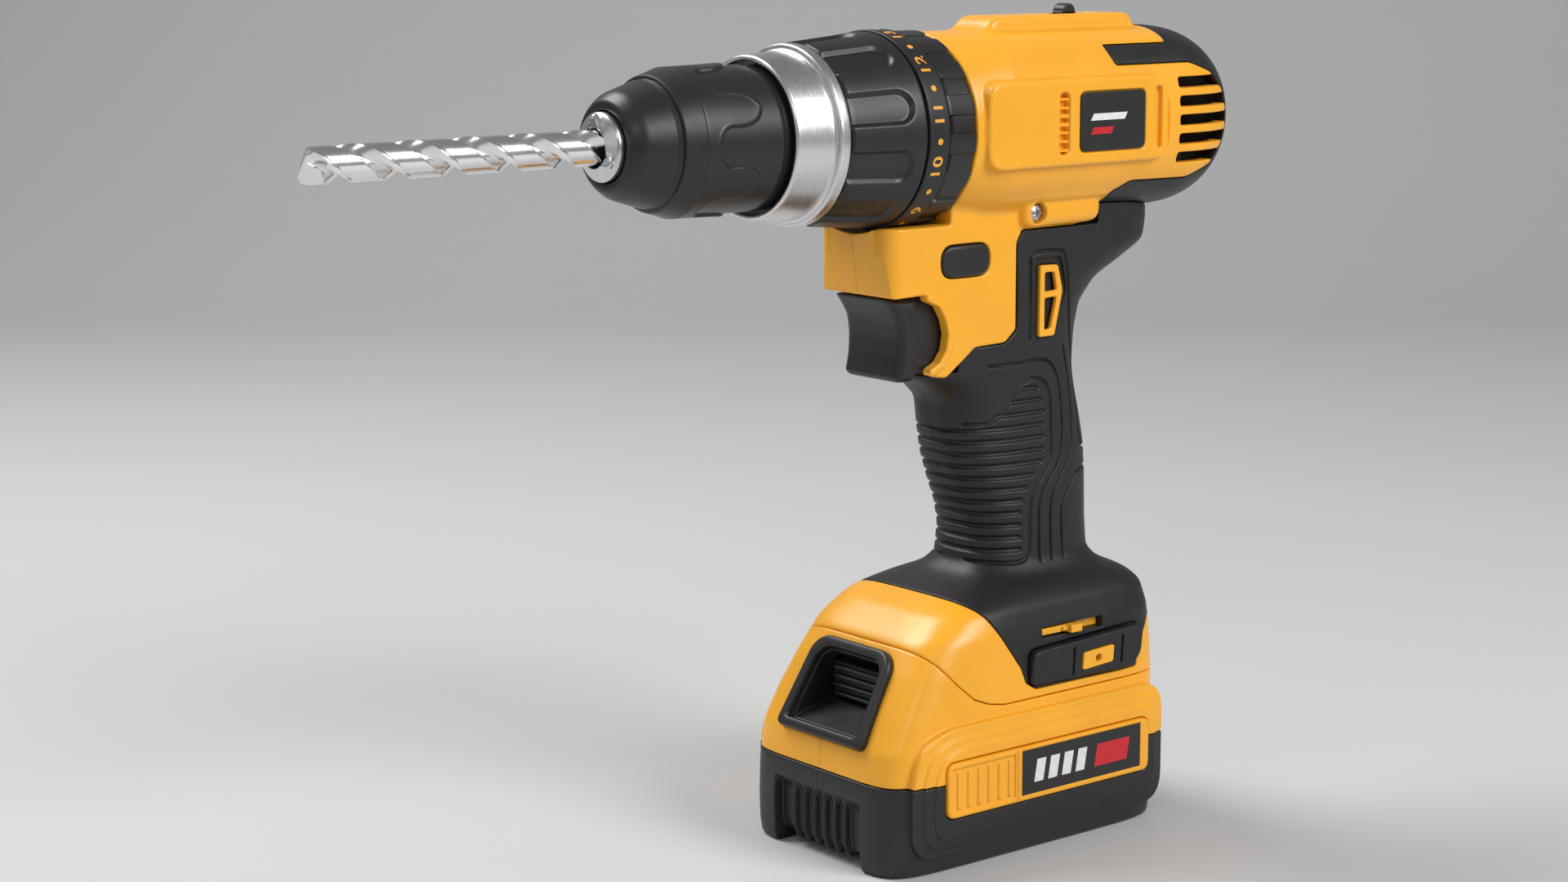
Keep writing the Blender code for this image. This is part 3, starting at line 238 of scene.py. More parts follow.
def outline_field(points, a, b):
    """Signed distance in a plane from a closed outline, negative inside."""
    a, b = np.broadcast_arrays(a, b)
    nearest = np.full(a.shape, 1e6, np.float32)
    inside = np.zeros(a.shape, bool)
    for (ax, ay), (bx, by) in zip(points, points[1:] + points[:1]):
        ex, ey = bx - ax, by - ay
        share = np.clip(((a - ax) * ex + (b - ay) * ey) / max(ex * ex + ey * ey, 1e-9), 0, 1)
        nearest = np.minimum(nearest, (a - ax - ex * share) ** 2 + (b - ay - ey * share) ** 2)
        crossed = ((ay <= b) & (by > b)) | ((by <= b) & (ay > b))
        if ey:
            inside ^= crossed & (a < ax + ex * (b - ay) / ey)
    return np.where(inside, -1.0, 1.0).astype(np.float32) * np.sqrt(nearest)


def line_field(points, a, b):
    """Distance in a plane from an open line of points."""
    a, b = np.broadcast_arrays(a, b)
    nearest = np.full(a.shape, 1e6, np.float32)
    for (ax, ay), (bx, by) in zip(points, points[1:]):
        ex, ey = bx - ax, by - ay
        share = np.clip(((a - ax) * ex + (b - ay) * ey) / max(ex * ex + ey * ey, 1e-9), 0, 1)
        nearest = np.minimum(nearest, (a - ax - ex * share) ** 2 + (b - ay - ey * share) ** 2)
    return np.sqrt(nearest)


def curved_line(points, steps=5):
    """A smooth line through points."""
    points = [Vector(point) for point in points]
    ends = [2 * points[0] - points[1], *points, 2 * points[-1] - points[-2]]
    found = []
    for index in range(1, len(ends) - 2):
        p0, p1, p2, p3 = ends[index - 1 : index + 3]
        for step in range(steps):
            t = step / steps
            value = 0.5 * (
                2 * p1 + (p2 - p0) * t + (2 * p0 - 5 * p1 + 4 * p2 - p3) * t * t
                + (3 * p1 - 3 * p2 + p3 - p0) * t ** 3
            )
            found.append(tuple(value))
    found.append(tuple(points[-1]))
    return found


def superellipse(u, v, power):
    return (np.abs(u) ** power + np.abs(v) ** power) ** (1.0 / power)


def settled(field, cell):
    """A field rescaled so that it measures distance near its surface."""
    slopes = np.gradient(field, cell)
    steepness = np.sqrt(slopes[0] ** 2 + slopes[1] ** 2 + slopes[2] ** 2)
    return (field / np.maximum(steepness, 0.25 * float(np.median(steepness)))).astype(np.float32)


def blurred(values, width):
    """Values smoothed along their length, this many samples wide."""
    reach = int(3 * width) + 1
    kernel = np.exp(-0.5 * (np.arange(-reach, reach + 1) / width) ** 2)
    padded = np.pad(values, reach, mode="edge")
    return np.convolve(padded, kernel / kernel.sum(), mode="valid")


# ---------------------------------------------------------------- finishes


class Finish:
    """A node material that is built up by name."""

    def __init__(self, name):
        self.material = bpy.data.materials.new(name)
        self.material.use_nodes = True
        self.tree = self.material.node_tree
        self.shader = self.tree.nodes["Principled BSDF"]
        self.coordinates = self.tree.nodes.new("ShaderNodeTexCoord").outputs["Object"]

    def node(self, kind, **settings):
        made = self.tree.nodes.new(kind)
        for key, value in settings.items():
            setattr(made, key, value)
        return made

    def link(self, source, target):
        self.tree.links.new(source, target)

    def stretched(self, scale):
        mapping = self.node("ShaderNodeMapping")
        mapping.inputs["Scale"].default_value = scale
        self.link(self.coordinates, mapping.inputs["Vector"])
        return mapping.outputs["Vector"]

    def noise(self, size_mm, detail=3.0, stretch=(1, 1, 1)):
        made = self.node("ShaderNodeTexNoise")
        made.inputs["Scale"].default_value = 1000.0 / size_mm
        made.inputs["Detail"].default_value = detail
        self.link(self.stretched(stretch), made.inputs["Vector"])
        return made.outputs["Fac"]

    def ramp(self, source, low, high, first, last):
        made = self.node("ShaderNodeMapRange")
        for key, value in (("From Min", low), ("From Max", high), ("To Min", first), ("To Max", last)):
            made.inputs[key].default_value = value
        self.link(source, made.inputs["Value"])
        return made.outputs["Result"]

    def mixed(self, factor, first, second):
        made = self.node("ShaderNodeMix", data_type="RGBA")
        self.link(factor, made.inputs["Factor"])
        for socket, value in ((made.inputs["A"], first), (made.inputs["B"], second)):
            if isinstance(value, bpy.types.NodeSocket):
                self.link(value, socket)
            else:
                socket.default_value = (*value, 1.0)
        return made.outputs["Result"]

    # Painted highlight: a mask that is 1 on sharp convex edges (found by pointiness), where a paler colour is
    # painted in place of light catching the edge.
    def painted_edge_highlight(self, low=0.52, high=0.6):
        geometry = self.node("ShaderNodeNewGeometry")
        return self.ramp(geometry.outputs["Pointiness"], low, high, 0.0, 1.0)

    def bump(self, height, strength, distance_mm=0.1):
        made = self.node("ShaderNodeBump")
        made.inputs["Strength"].default_value = strength
        made.inputs["Distance"].default_value = distance_mm * MM
        self.link(height, made.inputs["Height"])
        self.link(made.outputs["Normal"], self.shader.inputs["Normal"])

    def done(self, colour, roughness, **constants):
        self.link(colour, self.shader.inputs["Base Color"])
        self.link(roughness, self.shader.inputs["Roughness"])
        for key, value in constants.items():
            self.shader.inputs[key.replace("_", " ")].default_value = value
        return self.material


def scaled(colour, factor):
    return tuple(min(1.0, channel * factor) for channel in colour)


def moulded_plastic(name, colour, roughness, grain=0.05, edge_highlight=1.25):
    """Satin moulded plastic: faint flow variation, a fine spark texture and edges painted paler as a
    highlight.
    """
    finish = Finish(name)
    flow = finish.ramp(finish.noise(26.0, 2.0), 0.35, 0.65, 0.0, 1.0)
    base = finish.mixed(flow, scaled(colour, 0.96), scaled(colour, 1.03))
    # Painted highlight: sharp edges get the colour made paler by this factor.
    base = finish.mixed(finish.painted_edge_highlight(), base, scaled(colour, edge_highlight))
    speckle = finish.noise(0.45, 2.0)
    gloss = finish.ramp(finish.noise(7.0, 4.0), 0.3, 0.7, roughness - 0.035, roughness + 0.035)
    finish.bump(speckle, grain, 0.08)
    return finish.done(base, gloss, Specular_IOR_Level=0.5)


def soft_rubber(name, colour, roughness):
    """Soft overmould: fine matt grain, a little dust, and its raised edges painted paler as a highlight."""
    finish = Finish(name)
    dust = finish.ramp(finish.noise(9.0, 5.0), 0.45, 0.75, 0.0, 0.5)
    base = finish.mixed(dust, colour, scaled(colour, 1.35))
    # Painted highlight: raised edges get the colour made 1.8 times paler.
    base = finish.mixed(finish.painted_edge_highlight(0.53, 0.62), base, scaled(colour, 1.8))
    gloss = finish.ramp(finish.noise(5.0, 4.0), 0.3, 0.7, roughness - 0.05, roughness + 0.05)
    finish.bump(finish.noise(0.35, 3.0), 0.12, 0.08)
    return finish.done(base, gloss, Specular_IOR_Level=0.45)


def turned_metal(name, colour, roughness, streak=0.12, marks=0.25):
    """Lathe-turned or brushed metal, its fine lines running round the drill axis."""
    finish = Finish(name)
    lines = finish.noise(0.9, 4.0, (6.0, 0.35, 0.35))
    broad = finish.noise(14.0, 3.0)
    tones = scaled(colour, 1 - streak), scaled(colour, 1 + streak / 2)
    base = finish.mixed(finish.ramp(lines, 0.3, 0.7, 0.0, 1.0), *tones)
    base = finish.mixed(finish.ramp(broad, 0.45, 0.8, 0.0, marks), base, scaled(colour, 0.72))
    gloss = finish.ramp(lines, 0.25, 0.75, roughness - 0.05, roughness + 0.07)
    finish.bump(lines, 0.04, 0.02)
    return finish.done(base, gloss, Metallic=1.0)


def plain_metal(name, colour, roughness, grain_mm=1.2):
    """Machined or cast metal with a slightly uneven surface."""
    finish = Finish(name)
    cloud = finish.noise(grain_mm * 6, 4.0)
    base = finish.mixed(finish.ramp(cloud, 0.35, 0.7, 0.0, 1.0), scaled(colour, 0.85), scaled(colour, 1.08))
    gloss = finish.ramp(finish.noise(grain_mm, 4.0), 0.3, 0.7, roughness - 0.05, roughness + 0.08)
    finish.bump(finish.noise(grain_mm / 3, 3.0), 0.1, 0.05)
    return finish.done(base, gloss, Metallic=1.0)


def printed(name, colour, roughness=0.4):
    """Ink or a painted mark."""
    finish = Finish(name)
    cloud = finish.ramp(finish.noise(1.2, 3.0), 0.4, 0.75, 0.0, 1.0)
    base = finish.mixed(cloud, colour, scaled(colour, 0.85))
    return finish.done(base, finish.ramp(finish.noise(2.0), 0.3, 0.7, roughness - 0.04, roughness + 0.04))


def winding(name, colour):
    """Enamelled wire laid in rows along the motor."""
    finish = Finish(name)
    wire = finish.node("ShaderNodeTexWave", wave_type="BANDS", bands_direction="Y")
    wire.inputs["Scale"].default_value = 900.0
    wire.inputs["Distortion"].default_value = 0.6
    finish.link(finish.coordinates, wire.inputs["Vector"])
    base = finish.mixed(wire.outputs["Fac"], scaled(colour, 0.35), colour)
    finish.bump(wire.outputs["Fac"], 0.5, 0.2)
    return finish.done(base, finish.ramp(wire.outputs["Fac"], 0, 1, 0.5, 0.3), Metallic=0.8)


BUILT = {}


def finishes():
    """Every finish, built once from the panel's colours."""
    if BUILT:
        return BUILT
    colours = bpy.context.scene.drill_finish
    yellow, black = tuple(colours.yellow), tuple(colours.black)
    # The edge factor of each plastic finish sets how much paler its edges are painted, as a highlight.
    BUILT.update(
        yellow=moulded_plastic("satin_yellow_plastic", yellow, colours.yellow_roughness, edge_highlight=1.12),
        black=moulded_plastic("satin_black_plastic", black, colours.black_roughness, edge_highlight=2.0),
        collar=moulded_plastic(
            "glass_filled_black", black, colours.black_roughness - 0.04, grain=0.03, edge_highlight=2.2,
        ),
        rubber=soft_rubber("black_overmould", scaled(black, 0.85), colours.black_roughness + 0.06),
        ring=turned_metal("brushed_steel_ring", (0.72, 0.72, 0.73), 0.3),
        nose=turned_metal("turned_steel_nose", (0.66, 0.66, 0.67), 0.26, 0.08, 0.3),
        bit=turned_metal("ground_steel_bit", (0.85, 0.85, 0.86), 0.2, 0.04, 0.1),
        steel=plain_metal("machined_steel", (0.5, 0.5, 0.51), 0.3),
        gear=plain_metal("sintered_gear_steel", (0.3, 0.3, 0.31), 0.42, 0.6),
        cast=plain_metal("cast_alloy", (0.42, 0.42, 0.43), 0.5, 0.8),
        can=plain_metal("plated_motor_can", (0.58, 0.57, 0.53), 0.32, 2.0),
        copper=winding("copper_winding", (0.75, 0.32, 0.12)),
        carbon=soft_rubber("carbon_block", (0.015, 0.015, 0.017), 0.8),
        cell=moulded_plastic("cell_sleeve", (0.02, 0.22, 0.1), 0.32, edge_highlight=1.1),
        white_mark=printed("white_print", (0.82, 0.82, 0.8)),
        red_mark=printed("red_print", (0.62, 0.015, 0.02)),
        yellow_mark=printed("yellow_numerals", (0.95, 0.42, 0.04)),
    )
    return BUILT


# ---------------------------------------------------------------- turned pieces


def resampled(profile, step):
    """Points along a line of points, evenly close, keeping its corners."""
    found = []
    for (ar, a_s), (br, b_s) in zip(profile, profile[1:]):
        count = max(1, int(math.hypot(br - ar, b_s - a_s) / step))
        found += [(ar + (br - ar) * i / count, a_s + (b_s - a_s) * i / count) for i in range(count)]
    found.append(profile[-1])
    return np.array(found)


def turned_skin(name, profile, segments, relief=None, step=0.5, sharp=35.0):
    """A piece turned on the drill axis. Relief gives how far each point stands off the turned surface.

    The profile is (radius, millimetres ahead of the housing front), with its outer side first.
    """
    points = resampled(profile + [profile[0]], step)[:-1]
    angles = np.arange(segments) * math.tau / segments
    radius = np.broadcast_to(points[:, 0:1], (len(points), segments)).copy()
    ahead = np.broadcast_to(points[:, 1:2], (len(points), segments)).copy()
    if relief:
        radius += relief(radius, ahead, np.broadcast_to(angles[None, :], radius.shape))
    radius = np.maximum(radius, 0.0)
    places = np.stack(
        (
            HOUSING_FRONT - ahead,
            radius * np.sin(angles)[None, :],
            AXIS_HEIGHT + radius * np.cos(angles)[None, :],
        ),
        axis=-1,
    ).reshape(-1, 3)
    rows, columns = np.meshgrid(np.arange(len(points)), np.arange(segments), indexing="ij")
    ahead_row, ahead_column = (rows + 1) % len(points), (columns + 1) % segments
    corners = (rows * segments + columns, ahead_row * segments + columns)
    corners += (ahead_row * segments + ahead_column, rows * segments + ahead_column)
    faces = np.stack(corners, axis=-1).reshape(-1, 4)
    return smooth(mesh_of(name, places * MM, [faces]), sharp)


# ---------------------------------------------------------------- plates from outlines


def plate(name, outlines, depth, edge, frame, sharp=30.0):
    """A flat piece with holes and rounded edges, centred on the frame's plane. Sizes in millimetres."""
    curve = bpy.data.curves.new(name, "CURVE")
    curve.dimensions = "2D"
    curve.fill_mode = "BOTH"
    curve.extrude = max(depth / 2 - edge, 0.01) * MM
    curve.bevel_depth = edge * MM
    curve.bevel_resolution = 2
    curve.offset = -edge * MM
    for outline in outlines:
        spline = curve.splines.new("POLY")
        spline.points.add(len(outline) - 1)
        for point, (x, y) in zip(spline.points, outline):
            point.co = (x * MM, y * MM, 0.0, 1.0)
        spline.use_cyclic_u = True
    holder = bpy.data.objects.new(name, curve)
    bpy.context.scene.collection.objects.link(holder)
    graph = bpy.context.evaluated_depsgraph_get()
    mesh = bpy.data.meshes.new_from_object(holder.evaluated_get(graph))
    bpy.data.objects.remove(holder, do_unlink=True)
    bpy.data.curves.remove(curve)
    mesh.transform(frame)
    mesh.name = name
    return smooth(mesh, sharp)


def side_frame(across):
    """Takes an outline in side view millimetres to its plane."""
    at = Matrix.Translation(world_point(0.0, across, 0.0))
    return at @ Matrix.Rotation(math.pi / 2, 4, "X")


# ---------------------------------------------------------------- bit and chuck

BIT_RADIUS = 4.9
BIT_TIP = 200.0
BIT_LEAD = 34.0
POINT_TURN = math.radians(-130.0)


def bit_mesh(columns):
    """A two-flute twist drill: broad lands, a narrow margin along each, and a point of two facets."""
    stations = np.concatenate((np.arange(72.0, BIT_TIP - 5.0, 0.4), np.linspace(BIT_TIP - 5.0, BIT_TIP, 16)))
    angles = np.arange(columns) * math.tau / columns
    stations = np.concatenate((stations, np.full(12, BIT_TIP)))
    shrink = np.concatenate((np.ones(len(stations) - 12), np.linspace(1.0, 0.02, 13)[1:]))
    ahead, around = np.meshgrid(stations, angles, indexing="ij")
    share = np.mod(around, math.pi) / math.pi
    flute = np.clip((share - 0.56) / 0.44, 0, 1)
    hollow = np.sin(math.pi * flute ** 0.9)
    margin = 1.0 - 0.022 * eased((share - 0.045) / 0.015) * (share < 0.56)
    fluted = eased((ahead - 104.0) / 6.0)
    radius = BIT_RADIUS * (1 - fluted * (1 - margin)) * (1 - 0.55 * hollow * fluted) * shrink[:, None]
    turn = around + math.tau * ahead / BIT_LEAD + 0.1 * math.pi
    limit = BIT_TIP - 0.62 * np.abs(radius * np.cos(turn - POINT_TURN))
    start = BIT_TIP - 5.0
    ahead = np.where(ahead > start, start + (limit - start) * (ahead - start) / (BIT_TIP - start), ahead)
    points = np.stack(
        (
            HOUSING_FRONT - ahead,
            radius * np.sin(turn),
            AXIS_HEIGHT + radius * np.cos(turn),
        ),
        axis=-1,
    )
    rows, across = np.meshgrid(np.arange(len(stations) - 1), np.arange(columns), indexing="ij")
    following = (across + 1) % columns
    corners = (rows * columns + across, (rows + 1) * columns + across)
    corners += ((rows + 1) * columns + following, rows * columns + following)
    quads = np.stack(corners, axis=-1).reshape(-1, 4)[:, ::-1]
    points = points.reshape(-1, 3)
    middles = np.array([[HOUSING_FRONT - 72.0, 0, AXIS_HEIGHT], [HOUSING_FRONT - BIT_TIP, 0, AXIS_HEIGHT]])
    last = (len(stations) - 1) * columns
    ring = np.arange(columns)
    ring_next = (ring + 1) % columns
    rear = np.stack((np.full(columns, len(points)), ring_next, ring), axis=-1)[:, ::-1]
    front = np.stack((np.full(columns, len(points) + 1), last + ring, last + ring_next), axis=-1)[:, ::-1]
    points = np.concatenate((points, middles)) * MM
    return smooth(mesh_of("twist_bit", points, [quads, np.concatenate((rear, front))]), 32)


def nose_mesh():
    """The chuck's steel hub: a convex nose with a rounded rim, open at three jaws."""
    profile = [
        (5.7, 112.75), (9.0, 110.95), (9.45, 110.4), (9.4, 107.6), (14.5, 101.0), (14.5, 62.0),
        (17.2, 60.0), (17.2, 50.0), (6.4, 50.0), (6.4, 63.3), (6.0, 104.0), (5.6, 110.0),
    ]

    def mouth(radius, ahead, angle):
        lobe = np.maximum(0.0, np.cos(3 * angle)) ** 3
        reach = eased((9.2 - radius) / 3.4) * eased((ahead - 70.0) / 20.0)
        reach = np.where(radius > 9.25, 0.0, reach)
        return 2.6 * lobe * reach - 0.25 * eased((6.2 - radius) / 0.8) * eased((ahead - 100.0) / 8.0)

    return turned_skin("chuck_nose", arced(profile, 0.35, 3), 240, mouth, 0.4, 30)


LOBE_COUNT = 6
SLEEVE_TURN = math.radians(-91.0)


def sleeve_mesh():
    """The gripping sleeve: two cones and a waved step that makes six finger grips."""
    lip = arced([(9.8, 107.9), (9.8, 108.9), (12.2, 108.9), (14.6, 106.0), (17.25, 97.0)], 1.6, 4)[5:-5]
    profile = [
        (9.8, 107.9),
        *lip,
        (17.25, 97.05), (17.1, 96.75), (16.3, 96.4), (16.2, 95.9), (16.5, 95.6), (18.2, 95.35),
        (18.6, 95.05), (20.25, 89.5), (20.5, 88.9), (20.95, 66.0), (21.0, 64.0), (20.7, 62.6),
        (20.7, 56.0), (18.9, 56.0), (18.9, 92.4), (15.0, 101.0),
    ]

    def finger_grips(radius, ahead, angle):
        outer = (radius > 19.6) & (ahead < 88.5)
        spacing = math.tau / LOBE_COUNT
        offset = np.mod(angle - SLEEVE_TURN + spacing / 2, spacing) - spacing / 2
        across = np.abs(offset) * 20.4
        tongue = np.hypot(np.maximum(across - 1.0, 0), np.maximum(ahead - 80.5, 0)) - 4.5
        band = ahead - 69.2
        low = soft_min(tongue, band, 9.0)
        bead = 0.09 * np.exp(-((low - 0.75) / 0.35) ** 2)
        return np.where(outer, bead - 0.75 * eased(0.5 - low / 0.55), 0.0)

    return turned_skin("chuck_grip_sleeve", profile, 640, finger_grips, 0.27, 34)


def ring_mesh():
    """The steel ring behind the sleeve, with a rolled front edge and a flange."""
    profile = [
        (21.7, 61.2), (22.3, 61.3), (22.8, 60.8), (22.9, 60.2), (23.55, 49.4), (23.7, 48.6),
        (24.3, 48.25), (25.1, 48.2), (25.5, 47.8), (25.6, 47.2), (25.6, 45.1), (25.4, 44.5),
        (24.9, 44.3), (17.5, 44.3), (17.5, 50.6), (21.3, 50.6), (21.3, 60.9),
    ]
    return turned_skin("chuck_steel_ring", arced(profile, 0.35, 3), 192, None, 0.5, 40)


# ---------------------------------------------------------------- collars

RECESS_COUNT = 10
BLOCK_PAIRS = 16
NUMBER_PITCH = math.radians(30.606)
DOT_OFFSET = math.radians(15.15)
NUMBER_AHEAD = 14.6
NUMBER_RADIUS = 28.47
FIRST_NUMBER = math.radians(-108.8)
NUMBERS_SHOWN = 12


def torque_mesh():
    """The torque collar with its long finger recesses, open at the front."""
    profile = [
        (25.0, 44.0), (25.75, 43.6), (26.0, 42.6), (28.0, 19.4), (27.9, 18.8), (27.3, 18.6),
        (21.4, 18.6), (21.4, 21.0), (23.6, 22.0), (23.6, 41.0), (17.5, 41.0), (17.5, 44.0),
    ]

    def recesses(radius, ahead, angle):
        spacing = math.tau / RECESS_COUNT
        offset = np.mod(angle + spacing / 2, spacing) - spacing / 2
        across = np.abs(offset) * 26.8
        groove = np.hypot(across, np.maximum(27.4 - ahead, 0)) - 4.5
        depth = 1.25 * eased(0.5 - groove / 1.5)
        return np.where(radius > 25.1, -depth, 0.0)

    return turned_skin("torque_collar", arced(profile, 0.5, 3), 480, recesses, 0.34, 32)


def number_ring_mesh():
    profile = [
        (27.7, 18.3), (28.3, 18.25), (28.5, 18.0), (28.5, 11.2), (28.2, 10.9), (21.4, 10.9), (21.4, 18.3),
    ]
    return turned_skin("number_ring_skin", arced(profile, 0.2, 3), 192, None, 0.6, 32)


def mode_ring_mesh():
    """The mode ring, its edge cut in high and low blocks."""
    profile = [
        (21.4, 10.6), (27.0, 10.6), (27.8, 10.3), (28.0, 9.8), (28.0, 0.9), (27.8, 0.35),
        (27.2, 0.3), (21.4, 0.3),
    ]

    def blocks(radius, ahead, angle):
        phase = np.mod(angle / math.tau * BLOCK_PAIRS, 1.0)
        edge = np.minimum(np.abs(phase - 0.5), np.minimum(phase, 1 - phase))
        low = np.where(phase < 0.5, eased(edge / 0.035), 0.0)
        crown = 0.10 * np.cos((np.mod(phase, 0.5) - 0.25) * math.tau)
        front = low * 1.2 * eased((ahead - 8.6) / 1.0)
        return np.where(radius > 26.5, -0.72 * low - front - 0.08 + 0.5 * crown, 0.0)

    return turned_skin("mode_ring_skin", arced(profile, 0.4, 3), 768, blocks, 0.5, 32)


def wrapped(mesh, angle, ahead, radius):
    """Bends a flat drawing round the drill axis: its X runs round the ring and its Y forwards."""
    count = len(mesh.vertices)
    flat = np.zeros(count * 3, np.float32)
    mesh.vertices.foreach_get("co", flat)
    flat = flat.reshape(-1, 3) / MM
    around = angle + flat[:, 0] / radius
    reach = radius + flat[:, 2]
    placed = np.stack(
        (
            HOUSING_FRONT - ahead - flat[:, 1],
            reach * np.sin(around),
            AXIS_HEIGHT + reach * np.cos(around),
        ),
        axis=-1,
    )
    mesh.vertices.foreach_set("co", (placed * MM).astype(np.float32).reshape(-1))
    mesh.update()
    return mesh


def numeral_mesh(text):
    curve = bpy.data.curves.new("numeral", "FONT")
    curve.body = text
    curve.size = 4.7 * MM
    curve.space_character = 1.16
    curve.align_x, curve.align_y = "CENTER", "CENTER"
    curve.extrude = 0.05 * MM
    curve.offset = 0.1 * MM
    holder = bpy.data.objects.new("numeral", curve)
    bpy.context.scene.collection.objects.link(holder)
    graph = bpy.context.evaluated_depsgraph_get()
    mesh = bpy.data.meshes.new_from_object(holder.evaluated_get(graph))
    bpy.data.objects.remove(holder, do_unlink=True)
    bpy.data.curves.remove(curve)
    mesh.transform(Matrix.Diagonal((1.35, 1.0, 1.0, 1.0)))
    return mesh


def dot_outline(radius, count=20):
    angles = [math.tau * i / count for i in range(count)]
    return [(radius * math.cos(angle), radius * math.sin(angle)) for angle in angles]


def numerals():
    """The torque settings round the ring, with a dot between each two."""
    found = []
    for index in range(NUMBERS_SHOWN):
        angle = FIRST_NUMBER + (index - 4) * NUMBER_PITCH
        found.append(wrapped(numeral_mesh(str(index + 6)), angle, NUMBER_AHEAD, NUMBER_RADIUS))
        dot = plate("dot", [dot_outline(0.92)], 0.1, 0.02, Matrix.Identity(4))
        found.append(wrapped(dot, angle + DOT_OFFSET, NUMBER_AHEAD, NUMBER_RADIUS))
    return merged("torque_numerals", found)


def merged(name, meshes):
    """One mesh from several, keeping their materials in order."""
    holders = []
    for mesh in meshes:
        obj = bpy.data.objects.new(name, mesh)
        bpy.context.scene.collection.objects.link(obj)
        holders.append(obj)
    with bpy.context.temp_override(
        object=holders[0],
        active_object=holders[0],
        selected_editable_objects=holders,
        selected_objects=holders,
    ):
        bpy.ops.object.join()
    mesh = holders[0].data
    bpy.data.objects.remove(holders[0], do_unlink=True)
    mesh.name = name
    return mesh


# ---------------------------------------------------------------- motor housing

BARREL_HALF_WIDTH = 28.0
BARREL_HALF_HEIGHT = 27.4
HANDLE_HALF_WIDTH = 16.5
LOWER_HOUSING = [
    (-23.6, -27.0), (-21.0, -46.9), (-8.0, -46.6), (-3.3, -48.7), (-0.2, -53.6), (1.0, -58.3),
    (0.0, -64.0), (-3.4, -68.4), (-6.4, -69.6), (-5.6, -70.6), (-1.1, -71.3), (5.4, -66.9),
    (10.2, -63.4), (22.0, -63.1), (26.3, -59.5), (26.3, -34.0), (28.5, -30.2), (50.0, -30.2),
    (56.2, -26.5), (58.0, -12.0), (0.3, -12.0), (0.3, -27.0),
]
HOOK_RIM = [
    (-8.0, -47.4), (-3.6, -49.4), (-0.9, -53.8), (0.3, -58.3), (-0.6, -63.6), (-3.6, -67.4), (-6.8, -68.9),
]
TRIGGER_ROOM = [(-40, -47), (-40, -80), (-4, -80), (-3.2, -70.8), (8.7, -70.8), (11.6, -65), (11.6, -47)]
REAR_OUTLINE = [
    (57.0, 22.4), (57.8, 16.7), (89.0, 16.7), (98.5, 13.6), (105.4, 7.2), (107.6, -0.4),
    (106.0, -7.6), (100.4, -14.4), (89.0, -17.9), (65.0, -17.6), (59.5, -20.8), (59.5, -36.0),
    (140.0, -36.0), (140.0, 36.0), (87.5, 36.0), (84.0, 22.4),
]
VENTS = ((10.9, 105.0), (5.3, 109.0), (-0.3, 110.5), (-5.9, 109.5), (-11.5, 106.5))
BADGE = [(39.0, 10.0), (66.0, 10.0), (66.0, -7.8), (39.0, -7.8)]
BADGE_BARS = (("white_mark", 1.4, 3.4, 43.2, 57.0), ("red_mark", -2.6, -0.6, 43.2, 51.5))
BADGE_MIRROR = 104.5


def barrel_field(block, extra=0.0):
    """The motor housing's outer form: round in front, squarer behind, domed at the rear."""
    along, across, up = block.along, block.across, block.up
    power = np.interp(along, (0, 7, 16, 86, 117), (2.0, 2.2, 2.5, 2.5, 2.05)).astype(np.float32)
    narrow = np.interp(along, (0.3, 7, 16), (0.984, 0.99, 1.0)).astype(np.float32)
    ring = superellipse(across / (BARREL_HALF_WIDTH * narrow), up / BARREL_HALF_HEIGHT, power)
    behind = np.maximum(along - 86.0, 0) / 31.2
    field = ((behind**2.3 + ring**2.3) ** (1 / 2.3) - 1.0) * 26.0
    field = settled(field, block.cell) - extra
    return soft_max(field, 0.3 - extra - along, 0.8)


def housing_field(block):
    """The whole motor housing before the rear cap is parted from it."""
    along, across, up = block.along, block.across, block.up
    width = np.abs(across)
    field = barrel_field(block)
    hump = block.side([(20, 15), (20.2, 26.6), (24.8, 31.3), (80.4, 31.3), (82, 26), (82, 15)], 2.4)
    hump = soft_max(hump, width - 8.0 - 0.05 * np.maximum(31.3 - up, 0), 2.2)
    field = soft_min(field, hump, 1.8)
    lower = block.side(LOWER_HOUSING, 0.8, 2)
    lower = soft_max(lower, width - HANDLE_HALF_WIDTH, 1.0)
    front = np.hypot(np.maximum(-17.0 - along, 0) * 0.9, np.maximum(width - 11.5, 0)) - 5.0
    lower = np.where((along < -12.0) & (width > 9.0) & (up < -27.0), np.maximum(lower, front), lower)
    field = soft_min(field, lower, 1.6)
    rim = line_field(HOOK_RIM, along, up)
    field = soft_min(field, soft_max(rim - 1.15, width - 17.2, 0.6), 0.5)
    boss = block.side([(26.5, -30.0), (26.5, -21.2), (57.8, -20.4), (57.8, -29.4)], 4.4, 6)
    field = soft_min(field, soft_max(boss, width - 19.8, 3.4), 0.9)
    ledge = block.side([(31, -21.6), (34, -16.0), (54, -15.6), (58, -21.6)], 2.0)
    field = soft_min(field, soft_max(ledge, width - 21.6, 2.6), 1.2)
    panel = block.side([(3.5, 13.8), (76, 13.8), (76, -11.4), (3.5, -11.4)], 6.0)
    field = soft_min(field, soft_max(panel, width - 28.95, 1.5), 0.7)
    groove = np.abs(panel - 0.8) - 0.35
    field = sunk(field, groove, 27.2, width)
    return field


